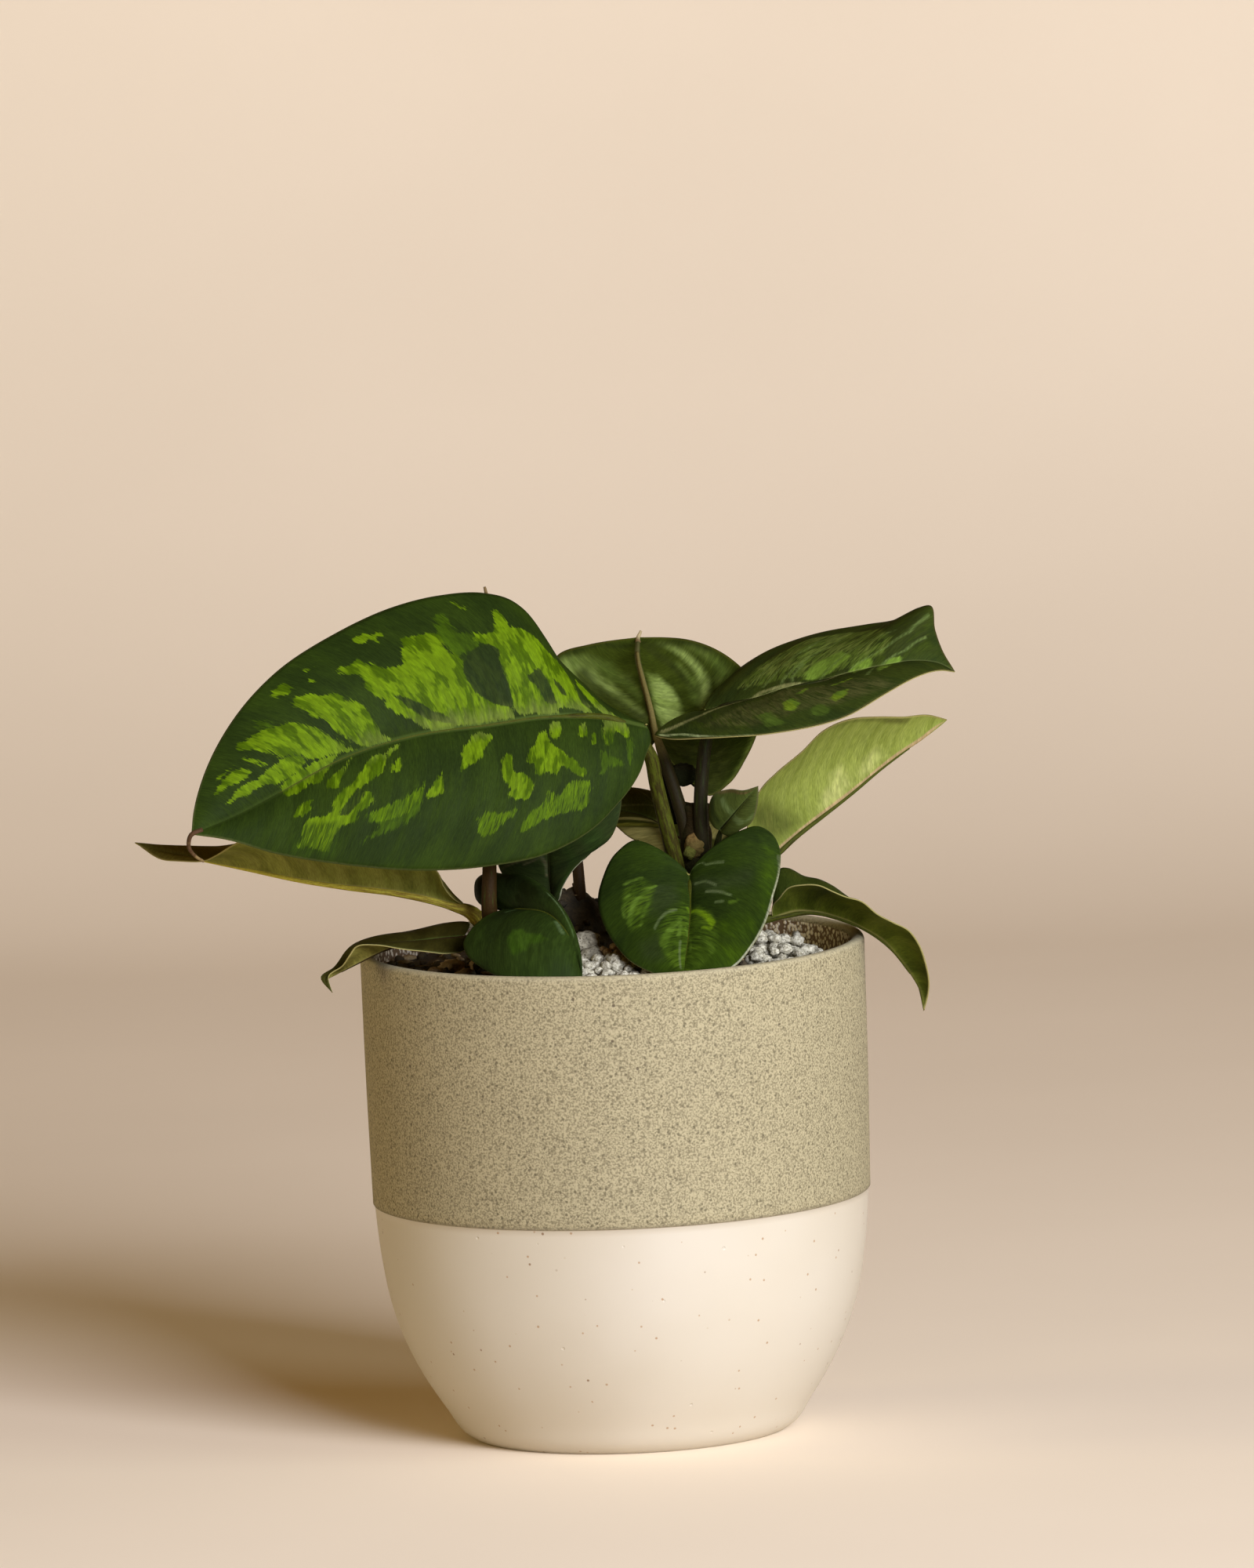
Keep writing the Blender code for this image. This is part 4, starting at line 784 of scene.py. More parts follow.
DARK_HOLES = [
    [(.262, .12), (.275, .22), (.285, .31), (.30, .38), (.31, .38), (.315, .34), (.33, .31), (.325, .27),
     (.31, .24), (.30, .18), (.29, .13), (.275, .10)],
    [(.235, .22), (.245, .29), (.26, .33), (.272, .335), (.268, .29), (.255, .24), (.245, .21)],
    [(.175, .15), (.19, .24), (.205, .35), (.205, .25), (.20, .18), (.185, .12)],
    [(.36, .10), (.37, .26), (.378, .34), (.385, .44), (.378, .49), (.385, .53), (.40, .555), (.42, .54),
     (.44, .49), (.447, .45), (.452, .38), (.445, .30), (.435, .23), (.42, .19), (.40, .14), (.38, .115)],
    [(.465, .03), (.49, .05), (.51, .07), (.535, .11), (.55, .17), (.565, .23), (.58, .33), (.57, .31),
     (.545, .24), (.52, .16), (.49, .09)],
    [(.68, -.34), (.695, -.34), (.71, -.42), (.735, -.56), (.72, -.58), (.70, -.50), (.685, -.42)],
]
MIDDLING = [
    [(.40, .60), (.42, .66), (.44, .68), (.445, .85), (.46, .84), (.465, .75), (.475, .70), (.47, .62),
     (.465, .55), (.455, .50), (.44, .52), (.425, .53), (.41, .57)],
    [(.78, .62), (.785, .74), (.795, .82), (.80, .76), (.795, .66)],
    [(.10, -.35), (.105, -.5), (.115, -.65), (.125, -.72), (.132, -.62), (.125, -.5), (.12, -.38)],
    [(.14, -.66), (.155, -.55), (.17, -.50), (.185, -.42), (.195, -.38), (.20, -.48), (.212, -.60),
     (.20, -.61), (.185, -.57), (.16, -.62)],
    [(.575, -.38), (.59, -.43), (.61, -.47), (.635, -.51), (.655, -.54), (.665, -.57), (.685, -.59),
     (.68, -.66), (.66, -.66), (.665, -.72), (.685, -.77), (.693, -.82), (.675, -.78), (.65, -.74),
     (.63, -.70), (.61, -.66), (.595, -.60), (.585, -.52), (.58, -.45)],
    [(.68, -.30), (.70, -.30), (.74, -.45), (.745, -.60), (.72, -.62), (.695, -.50)],
]
STREAKED = [
    [(.24, -.68), (.245, -.60), (.265, -.57), (.28, -.54), (.295, -.57), (.31, -.62), (.325, -.62),
     (.33, -.58), (.338, -.57), (.345, -.62), (.36, -.66), (.375, -.68), (.395, -.74), (.41, -.80),
     (.395, -.81), (.375, -.78), (.35, -.76), (.32, -.75), (.30, -.77), (.28, -.77), (.262, -.80),
     (.25, -.76), (.25, -.70)],
    [(.40, -.62), (.42, -.65), (.44, -.66), (.455, -.64), (.47, -.64), (.484, -.68), (.483, -.76),
     (.475, -.80), (.455, -.79), (.44, -.74), (.425, -.71), (.41, -.67)],
    [(.575, -.40), (.60, -.46), (.64, -.52), (.68, -.58), (.67, -.66), (.62, -.62), (.59, -.52)],
]
DIMMED = [
    [(.735, -.62), (.80, -.62), (.82, -.80), (.815, -.95), (.74, -.95), (.73, -.80)],
    [(.145, -.18), (.185, -.20), (.18, -.40), (.14, -.40)],
]

# Painted areas of the other leaves: which face, two colours, softness, raggedness and strength, then the
# marks, drawn in pixels of the photograph: outlines (None), and strokes with half widths at both ends.
PHOTO_INKS = {
    "leaf_back_upright": [
        ("under", rgb(112, 126, 62), rgb(98, 112, 50), 1.6, 0.8, 0.9, [
            ([(824, 918), (802, 897), (778, 878), (752, 862), (724, 849)], (1.0, 2.2)),
            ([(840, 862), (858, 878), (868, 898), (871, 918), (862, 930), (846, 930), (838, 905),
              (832, 880), (828, 860)], None),
            ([(850, 822), (874, 836), (892, 855), (899, 876), (897, 898)], (0.8, 1.2))]),
        ("under", rgb(78, 90, 36), rgb(70, 84, 30), 1.8, 0.8, 0.8, [
            ([(817, 890), (800, 868), (772, 850), (742, 842)], (1.0, 2.0)),
            ([(885, 824), (912, 842), (926, 862), (924, 876)], (1.0, 1.4)),
            ([(868, 850), (884, 870), (888, 890)], (0.6, 1.4))]),
        ("under", rgb(30, 36, 8), rgb(40, 46, 12), 1.6, 0.6, 0.85, [
            ([(822, 916), (790, 896), (765, 880), (742, 862)], (0.8, 2.2)),
            ([(828, 826), (850, 842), (870, 862), (884, 878)], (2.0, 0.8)),
            ([(819, 868), (824, 890), (828, 906)], (0.5, 0.6)),
            ([(730, 830), (770, 818), (815, 815), (860, 816), (905, 826)], (0.8, 1.0))]),
        # painted shadow: the lower lobes darkened where the leaves in front shade them
        ("under", rgb(36, 40, 8), rgb(46, 50, 14), 2.5, 0.8, 0.95, [
            ([(800, 948), (860, 936), (925, 938), (935, 965), (925, 990), (905, 1018), (862, 998),
              (830, 975), (790, 985)], None)]),
        ("under", rgb(94, 108, 40), rgb(84, 96, 34), 1.2, 0.6, 0.8, [
            ([(968, 940), (955, 966), (934, 994)], (1.6, 0.8))])],
    "leaf_right_top": [
        ("upper", rgb(46, 56, 14), rgb(42, 48, 18), 2.0, 1.5, 0.7, [
            ([(975, 840), (1040, 812), (1110, 800), (1185, 785), (1195, 830), (1140, 850), (1090, 855),
              (1040, 866), (1000, 876)], None),
            ([(870, 920), (930, 902), (990, 890), (1010, 905), (960, 930), (900, 934)], None)]),
        ("upper", rgb(96, 108, 46), rgb(78, 94, 32), 1.0, 1.6, 0.55, [
            ([(940, 878), (980, 842), (1030, 816), (1084, 806), (1120, 802), (1136, 812), (1130, 830),
              (1100, 848), (1040, 862), (980, 872)], None)]),
        ("upper", rgb(72, 72, 36), rgb(62, 64, 30), 1.6, 1.8, 0.5, [
            ([(900, 926), (950, 898), (1000, 880), (1060, 872), (1120, 862), (1140, 872), (1080, 892),
              (1020, 904), (960, 924)], None)]),
        ("upper", rgb(84, 104, 34), rgb(98, 122, 40), 0.7, 1.2, 0.9, [
            ([(1024, 866), (1034, 852), (1048, 842), (1074, 830), (1086, 836), (1070, 848), (1060, 858),
              (1042, 866)], None),
            ([(1082, 856), (1092, 846), (1108, 838), (1114, 844), (1102, 853), (1090, 858)], None),
            ([(1118, 852), (1134, 840), (1150, 836), (1150, 842), (1134, 850), (1122, 855)], None)]),
        ("upper", rgb(80, 98, 44), rgb(92, 108, 54), 0.45, 0.5, 0.8, [
            ([(986, 884), (1000, 866), (1020, 846), (1046, 830), (1076, 815)], (0.35, 0.3)),
            ([(1004, 878), (1012, 862), (1026, 846)], (0.3, 0.3)),
            ([(974, 876), (990, 858), (1006, 843), (1028, 828), (1048, 816)], (0.5, 0.3)),
            ([(950, 880), (968, 864), (986, 846), (1004, 832)], (0.3, 0.3)),
            ([(1046, 866), (1064, 846), (1080, 832), (1104, 820), (1142, 803)], (0.35, 0.3)),
            ([(1086, 852), (1108, 838), (1132, 824), (1160, 805), (1184, 784)], (0.35, 0.45)),
            ([(1106, 860), (1130, 844), (1156, 829), (1182, 812)], (0.4, 0.3))]),
        ("upper", rgb(92, 112, 24), rgb(78, 100, 26), 0.5, 1.2, 0.9, [
            ([(1000, 895), (1012, 889), (1022, 896), (1012, 906), (1001, 905)], None),
            ([(1058, 890), (1066, 882), (1082, 878), (1080, 886), (1068, 893)], None),
            ([(1018, 884), (1030, 878)], (0.6, 0.5)),
            ([(1064, 872), (1084, 866)], (0.6, 0.4))]),
        ("upper", rgb(66, 84, 26), rgb(58, 74, 22), 0.6, 1.0, 0.85, [
            ([(966, 912), (984, 907), (1002, 922), (978, 927)], None),
            ([(1034, 904), (1046, 896), (1060, 902), (1052, 912), (1040, 912)], None)]),
        ("upper", rgb(130, 130, 80), rgb(112, 112, 66), 0.7, 0.6, 0.8, [
            ([(846, 932), (882, 917), (930, 898), (972, 882), (1012, 872), (1062, 863)], (0.7, 1.0))]),
        ("upper", rgb(134, 142, 96), rgb(120, 130, 84), 0.3, 0.2, 0.9, [
            ([(842, 937), (868, 935), (895, 938), (930, 939), (962, 939)], (0.5, 0.5))])],
    "leaf_right_middle": [
        ("both", rgb(76, 79, 32), rgb(68, 73, 28), 3.5, 1.5, 0.85, [
            ([(958, 1046), (975, 1022), (1005, 1036), (1020, 1050), (1004, 1066), (984, 1072),
              (966, 1060)], None)]),
        # painted highlights: pale glints on the blade
        ("both", rgb(146, 148, 84), rgb(134, 139, 74), 2.0, 1.6, 0.9, [
            ([(1060, 986), (1074, 976), (1088, 1000), (1076, 1016), (1062, 1028), (1046, 1036),
              (1048, 1016), (1062, 1000)], None),
            ([(1098, 986), (1106, 966), (1120, 954), (1128, 966), (1116, 980), (1102, 992)], None)]),
        ("both", rgb(82, 84, 34), rgb(72, 72, 29), 1.0, 0.6, 0.8, [
            ([(1058, 924), (1084, 920), (1120, 917), (1156, 920)], (0.9, 1.2)),
            ([(970, 1004), (990, 985), (1022, 960), (1052, 934)], (0.8, 0.6))]),
        ("both", rgb(150, 126, 90), rgb(140, 116, 80), 0.3, 0.2, 0.9, [
            ([(992, 1086), (1034, 1050), (1070, 1023), (1105, 995), (1142, 966), (1180, 940),
              (1204, 921)], (0.7, 0.45))])],
    "leaf_small_dark": [
        ("both", rgb(34, 42, 16), rgb(40, 48, 20), 1.0, 0.5, 0.8, [
            ([(908, 1020), (908, 1035), (916, 1048)], (1.4, 1.0))]),
        ("both", rgb(84, 98, 56), rgb(74, 88, 46), 0.6, 0.4, 0.7, [
            ([(921, 1020), (932, 1036), (944, 1050)], (0.7, 1.1)),
            ([(952, 1048), (960, 1040)], (0.5, 0.4))]),
        ("both", rgb(78, 66, 38), rgb(70, 58, 32), 0.5, 0.3, 0.85, [
            ([(918, 1010), (936, 1008), (960, 1008)], (0.5, 0.6))])],
    "leaf_front_heart": [
        # painted sheen: greyish patches and a stroke of reflected light on the blade
        ("upper", rgb(43, 51, 27), rgb(38, 46, 22), 2.4, 1.2, 0.6, [
            ([(822, 1130), (862, 1126), (866, 1150), (846, 1168), (824, 1164)], None),
            ([(820, 1205), (850, 1190), (850, 1225), (826, 1222)], None),
            ([(880, 1128), (915, 1128), (950, 1120)], (1.0, 1.6))]),
        ("upper", rgb(50, 69, 7), rgb(42, 59, 8), 2.6, 1.2, 0.75, [
            ([(976, 1070), (992, 1078), (994, 1110), (984, 1144), (974, 1166), (966, 1130),
              (972, 1100)], None),
            ([(872, 1214), (950, 1208), (936, 1234), (880, 1242), (846, 1232)], None),
            ([(925, 1180), (950, 1182)], (2.2, 2.6))]),
        ("upper", rgb(66, 86, 19), rgb(52, 70, 14), 1.2, 1.6, 0.56, [
            ([(852, 1162), (872, 1150), (892, 1158), (912, 1176), (916, 1200), (904, 1222), (884, 1240),
              (866, 1238), (848, 1216), (842, 1190)], None),
            ([(796, 1136), (820, 1122), (838, 1130), (832, 1156), (820, 1180), (804, 1186),
              (796, 1164)], None)]),
        ("upper", rgb(76, 98, 30), rgb(62, 82, 20), 0.5, 0.9, 0.8, [
            ([(838, 1130), (822, 1138), (812, 1150), (804, 1166), (803, 1178)], (0.4, 0.7)),
            ([(801, 1142), (795, 1155), (797, 1168)], (0.5, 0.5)),
            ([(814, 1144), (806, 1156), (806, 1172)], (0.4, 0.4)),
            ([(828, 1152), (821, 1166), (818, 1180)], (0.4, 0.3)),
            ([(796, 1128), (808, 1122), (818, 1119)], (0.4, 0.4)),
            ([(868, 1173), (856, 1186), (847, 1204)], (0.7, 1.2)),
            ([(869, 1180), (866, 1194)], (0.6, 0.6)),
            ([(876, 1186), (881, 1198), (880, 1212)], (0.4, 0.4)),
            ([(892, 1194), (904, 1204), (908, 1214)], (0.5, 0.6)),
            ([(928, 1152), (941, 1148)], (0.3, 0.3))]),
        ("upper", rgb(92, 118, 14), rgb(82, 106, 18), 0.5, 0.7, 0.9, [
            ([(878, 1158), (890, 1163), (902, 1170), (909, 1178)], (0.5, 0.8)),
            ([(896, 1183), (908, 1183)], (0.3, 0.4))]),
        ("upper", rgb(88, 98, 62), rgb(78, 90, 52), 0.35, 0.3, 0.75, [
            ([(863, 1159), (850, 1165), (841, 1174), (836, 1184)], (0.35, 0.3)),
            ([(886, 1127), (900, 1124), (913, 1129)], (0.35, 0.3)),
            ([(900, 1137), (918, 1137), (932, 1142)], (0.3, 0.3)),
            ([(912, 1150), (922, 1149)], (0.3, 0.3)),
            ([(878, 1108), (900, 1103), (924, 1098)], (0.3, 0.3)),
            ([(869, 1200), (869, 1234)], (0.35, 0.3))]),
        ("upper", rgb(150, 148, 122), rgb(140, 140, 110), 0.2, 0.1, 0.95, [
            ([(995, 1092), (993, 1118), (988, 1140), (981, 1162), (973, 1182), (962, 1204), (948, 1222),
              (936, 1234)], (0.5, 0.45))])],
    "leaf_front_left_small": [
        # painted shade: the far half of the folded blade darkened where it lies in shadow
        ("upper", rgb(14, 18, 4), rgb(20, 26, 8), 3.0, 1.0, 0.9, [
            ([(607, 1129), (640, 1112), (680, 1124), (700, 1145), (670, 1160), (640, 1170), (620, 1175),
              (608, 1155)], None)]),
        ("upper", rgb(38, 52, 15), rgb(34, 47, 13), 3.0, 1.5, 0.8, [
            ([(690, 1172), (728, 1180), (738, 1210), (738, 1252), (690, 1254), (655, 1240), (650, 1218),
              (690, 1196)], None),
            ([(612, 1196), (606, 1214)], (1.6, 1.8))]),
        ("upper", rgb(40, 60, 10), rgb(46, 66, 14), 0.8, 1.2, 0.85, [
            ([(648, 1196), (654, 1187), (664, 1184), (671, 1190), (690, 1192), (698, 1197), (688, 1202),
              (675, 1203), (671, 1210), (662, 1212), (655, 1218), (651, 1210)], None)]),
        # painted highlights: a glint, a light line on the midrib and a lit strip along the margin
        ("upper", rgb(72, 88, 54), rgb(64, 82, 44), 0.6, 0.4, 0.7, [
            ([(711, 1176), (717, 1188)], (0.7, 0.8)),
            ([(700, 1140), (718, 1162), (731, 1190)], (0.5, 0.5)),
            ([(646, 1163), (658, 1160)], (0.3, 0.3))])],
    "leaf_under_left": [
        ("both", rgb(150, 148, 124), rgb(140, 138, 112), 0.2, 0.1, 0.95, [
            ([(743, 1100), (732, 1112), (721, 1131), (713, 1149)], (0.5, 0.5))]),
        ("both", rgb(58, 62, 40), rgb(66, 62, 40), 0.5, 0.5, 0.8, [
            ([(640, 1110), (656, 1101), (684, 1091)], (0.3, 0.3)),
            ([(690, 1092), (696, 1104), (697, 1118)], (0.6, 0.5)),
            ([(668, 1104), (690, 1094)], (0.25, 0.25))]),
        ("both", rgb(36, 52, 18), rgb(30, 44, 14), 2.0, 1.0, 0.8, [
            ([(745, 1060), (760, 1078)], (2.0, 2.4)),
            ([(718, 1075), (722, 1120)], (1.0, 1.2))])],
    "leaf_back_low": [
        ("both", rgb(140, 130, 72), rgb(130, 120, 64), 0.8, 0.4, 0.9, [
            ([(783, 1057), (846, 1057), (850, 1096), (820, 1078), (798, 1066)], None),
            ([(902, 1046), (911, 1052), (929, 1064), (918, 1071), (904, 1068)], None),
            ([(786, 1044), (846, 1045)], (0.8, 0.9))]),
        ("both", rgb(104, 100, 32), rgb(92, 88, 28), 0.5, 0.3, 0.9, [
            ([(788, 1052), (846, 1053)], (0.9, 0.9))]),
        ("both", rgb(84, 84, 44), rgb(74, 74, 36), 0.4, 0.3, 0.9, [
            ([(784, 1028), (846, 1029)], (0.4, 0.4)),
            ([(808, 1004), (832, 1022)], (0.3, 0.3))])]}


def photo_pixels(points):
    """Where points in millimetres fall in the photograph, and how far back they lie."""
    x, y, z = (np.reshape(points, (-1, 3)) * MM - SIGHT_POINT).T
    up = z * math.cos(CAMERA_ELEVATION) + y * math.sin(CAMERA_ELEVATION)
    back = y * math.cos(CAMERA_ELEVATION) - z * math.sin(CAMERA_ELEVATION)
    scale = PIXELS_PER_METRE / (1.0 + back / CAMERA_RANGE)
    right, down = x * scale, -up * scale
    return (SIGHT_PIXEL[0] + right * math.cos(CAMERA_ROLL) + down * math.sin(CAMERA_ROLL),
            SIGHT_PIXEL[1] - right * math.sin(CAMERA_ROLL) + down * math.cos(CAMERA_ROLL), back)


def on_blade(leaf, inks):
    """Inks drawn in pixels turned into (s, t) terms of a blade, on its nearer half where both would do."""
    shares = np.linspace(0.0, 1.0, SEARCH_GRID[1] + 1)
    grids, _, steps, _ = blade_halves(leaf, SEARCH_GRID[0], shares)
    x, y, back = photo_pixels(grids)
    s = np.tile(np.repeat(steps, len(shares)), 2)
    t = np.concatenate([np.tile(shares, len(steps)), np.tile(-shares, len(steps))])

    def place(pixel):
        gap = np.hypot(x - pixel[0], y - pixel[1])
        near = np.flatnonzero(gap < gap.min() + SEARCH_SLACK)
        best = near[np.argmin(back[near])]
        return s[best], t[best]

    return [(*looks, [([place(pixel) for pixel in path], width) for path, width in marks])
            for *looks, marks in inks]


def closed(outlines):
    """Outlines as marks."""
    return [(outline, None) for outline in outlines]


INKS = {name: on_blade(LEAVES[name], inks) for name, inks in PHOTO_INKS.items()}
INKS["leaf_front_left_large"] = [
    ("upper", rgb(54, 75, 7), rgb(46, 64, 7), 0.5, 3.6, 0.85, closed(MIDDLING)),
    ("upper", rgb(56, 76, 3), rgb(83, 106, 8), 0.25, 2.6, 1.0, closed(BRIGHT)),
    ("upper", rgb(74, 98, 6), rgb(64, 86, 6), 0.3, 2.6, 0.59, closed(STREAKED)),
    ("upper", rgb(29, 39, 12), rgb(34, 44, 13), 0.25, 2.0, 0.95, closed(DARK_HOLES)),
    ("upper", rgb(32, 46, 8), rgb(38, 54, 8), 1.0, 3.0, 0.55, closed(DIMMED))]

GREENS = {
    "rough": 0.55, "gloss": 0.025, "dark": rgb(28, 39, 9), "mid": rgb(36, 49, 10),
    "rib": (rgb(70, 84, 36), 1.3, 0.7), "edge": (rgb(70, 74, 38), 0.6, 0.6)}
UNDERS = {
    "rough": 0.6, "gloss": 0.03, "dark": rgb(92, 94, 36), "mid": rgb(114, 116, 48),
    "bands": (rgb(134, 132, 62), 9.0, 0.3),
    "rib": (rgb(140, 130, 76), 1.2, 0.6), "edge": (rgb(150, 140, 88), 0.6, 0.7)}
STEM_GREEN = (rgb(59, 63, 13), rgb(42, 37, 9), 0.25)
STEM_BROWN = (rgb(48, 44, 16), rgb(44, 30, 12), 0.45)
STEM_DARK = (rgb(32, 38, 10), rgb(26, 22, 8), 0.35)
TIP = (rgb(110, 90, 56), rgb(66, 46, 28), 0.4)


def looks(upper=None, under=None, stem=STEM_GREEN, tip=TIP):
    """A leaf's looks: the usual ones with what differs."""
    return {"upper": {**GREENS, **(upper or {})}, "under": {**UNDERS, **(under or {})},
            "stem": stem, "tip": tip}


PALE_GREEN = {"dark": rgb(96, 104, 40), "mid": rgb(109, 117, 49), "bands": (rgb(123, 130, 62), 5.0, 0.35),
              "rib": (rgb(124, 106, 74), 1.0, 0.6), "edge": (rgb(120, 108, 62), 0.5, 0.7)}
DARK_GREEN = {"dark": rgb(24, 32, 12), "mid": rgb(34, 44, 16), "bands": (rgb(44, 52, 22), 9.0, 0.3),
              "rib": (rgb(44, 50, 24), 1.0, 0.4), "edge": (rgb(60, 58, 34), 0.4, 0.4)}
YOUNG = {"dark": rgb(52, 60, 24), "mid": rgb(62, 72, 28), "rib": (rgb(84, 96, 52), 0.8, 0.6),
         "edge": (rgb(80, 76, 46), 0.5, 0.6)}
LOW_BACK = {"dark": rgb(46, 48, 12), "mid": rgb(54, 54, 15), "edge": (rgb(84, 76, 42), 0.4, 0.5)}

LOOKS = {
    "leaf_front_left_large": looks(upper={"pale": rgb(90, 100, 42), "rib": (rgb(66, 80, 32), 1.4, 0.75)}),
    "leaf_back_upright": looks(
        under={"dark": rgb(34, 41, 6), "mid": rgb(43, 51, 9), "bands": (rgb(56, 65, 16), 7.0, 0.3),
               "rib": (rgb(130, 116, 82), 1.0, 0.9), "edge": (rgb(66, 64, 20), 0.8, 0.7)},
        stem=(rgb(32, 34, 8), rgb(30, 24, 8), 0.4, rgb(98, 88, 48)),
        tip=(rgb(150, 134, 98), rgb(96, 78, 48), 0.3)),
    "leaf_right_top": looks(
        upper={"dark": rgb(35, 45, 15), "mid": rgb(48, 57, 17), "rib": (rgb(128, 130, 78), 1.0, 0.8),
               "edge": (rgb(62, 56, 26), 0.7, 0.8)},
        stem=STEM_DARK),
    "leaf_right_middle": looks(upper=PALE_GREEN, under=PALE_GREEN),
    "leaf_small_dark": looks(upper=YOUNG, under=YOUNG, stem=STEM_DARK),
    "leaf_front_heart": looks(
        upper={"dark": rgb(27, 38, 9), "mid": rgb(35, 48, 9), "rib": (rgb(56, 72, 24), 0.8, 0.35),
               "edge": (rgb(56, 64, 32), 0.4, 0.4)}),
    "leaf_front_left_small": looks(
        upper={"dark": rgb(26, 35, 10), "mid": rgb(33, 45, 12), "rib": (rgb(44, 56, 24), 0.7, 0.3),
               "edge": (rgb(56, 66, 36), 0.4, 0.5)}),
    "leaf_under_left": looks(upper=DARK_GREEN, under=DARK_GREEN, stem=STEM_DARK),
    "leaf_left_low": looks(
        upper={"dark": rgb(84, 78, 30), "mid": rgb(104, 98, 42), "edge": (rgb(130, 120, 70), 0.6, 0.7)},
        stem=(rgb(168, 158, 58), rgb(130, 112, 44), 0.3)),
    "leaf_left_bottom": looks(
        upper={"dark": rgb(40, 36, 10), "mid": rgb(54, 50, 16)},
        under={"dark": rgb(60, 56, 18), "mid": rgb(92, 86, 38)},
        stem=STEM_BROWN),
    "leaf_right_bottom": looks(
        upper={"dark": rgb(38, 46, 12), "mid": rgb(48, 55, 15)},
        under={"dark": rgb(50, 57, 13), "mid": rgb(70, 78, 20), "bands": (rgb(88, 94, 32), 9.0, 0.3)}),
    "leaf_back_low": looks(upper=LOW_BACK, under=LOW_BACK, stem=STEM_BROWN),
    "leaf_hidden_upright": looks(stem=(rgb(44, 50, 15), rgb(42, 28, 8), 0.4)),
    "leaf_back_left": looks(stem=STEM_BROWN),
}


def make_leaves():
    """All leaves, the ones with fine marks on a finer grid."""
    for name, leaf in LEAVES.items():
        inks = INKS.get(name, [])
        rows, cols = GRID_LARGE if name == "leaf_front_left_large" else GRID_MARKED if inks else GRID_PLAIN
        make_leaf(name, leaf, LOOKS[name], inks, rows, cols)


# Pot

def turned(profile, material, shape):
    """Adds a turned surface from (radius, height) pairs, open or meeting the axis."""
    segments = POT_SEGMENTS
    points, rings = [], []
    for radius, height in profile:
        first = len(points)
        count = 1 if radius < 1e-6 else segments
        for k in range(count):
            a = 2 * math.pi * k / segments
            points.append((radius * math.cos(a), radius * math.sin(a), height))
        rings.append([first + k % count for k in range(segments)])
    faces = []
    for low, high in zip(rings, rings[1:]):
        for k in range(segments):
            n = (k + 1) % segments
            corners = [low[k], low[n], high[n], high[k]]
            kept = [c for j, c in enumerate(corners) if c != corners[j - 1]]
            faces.append(tuple(kept))
    shape.add(points, faces, material)


def eased(points, count):
    """A smooth run of (radius, height) pairs through the given ones."""
    flat = [(r, 0.0, z) for r, z in points]
    return [(p[0], p[2]) for p in curve(flat, np.linspace(0.0, 1.0, count))]


BOWL = [(51.5, 0.0), (54.6, 2.0), (60.2, 10.0), (66.8, 20.5), (72.2, 31.5), (76.4, 44.0), (79.3, 60.0),
        (81.0, 78.0)]
BAND = [(81.5, 78.4), (82.2, 118.0), (82.5, 158.8)]
LIP = [(82.5, 158.8), (82.3, 159.9), (81.7, 160.7), (80.7, 161.0), (79.5, 160.9), (78.6, 160.2),
       (78.3, 159.0)]
INSIDE = [(78.3, 159.0), (78.0, 150.0), (77.4, 112.0), (76.2, 76.0), (73.0, 52.0), (66.0, 29.0), (54.0, 12.5),
          (42.0, 7.0)]
FOOT = [(0.0, 0.0), (30.0, 0.0)]
COLOUR_STEP = [(81.15, 78.1), (81.4, 78.25)]
INNER_FLOOR = [(20.0, 7.0), (0.0, 7.0)]
POT_SEGMENTS = 256


# heights in metres: where the band begins, the painted shadow line above that under the band's small step,
# and the lighter rim
BAND_FROM = (0.0781, 0.0783)
BAND_FOOT_SHADOW = (0.0782, 0.0797)
RIM_FROM = (0.1592, 0.1606)
# specks in the cream glaze: scale, share of cells left bare, size and tone
IRON_SPECKS = ((420.0, 0.90, 0.22, rgb(150, 118, 84)), (230.0, 0.93, 0.13, rgb(116, 84, 54)),
               (90.0, 0.93, 0.06, rgb(98, 70, 46)))


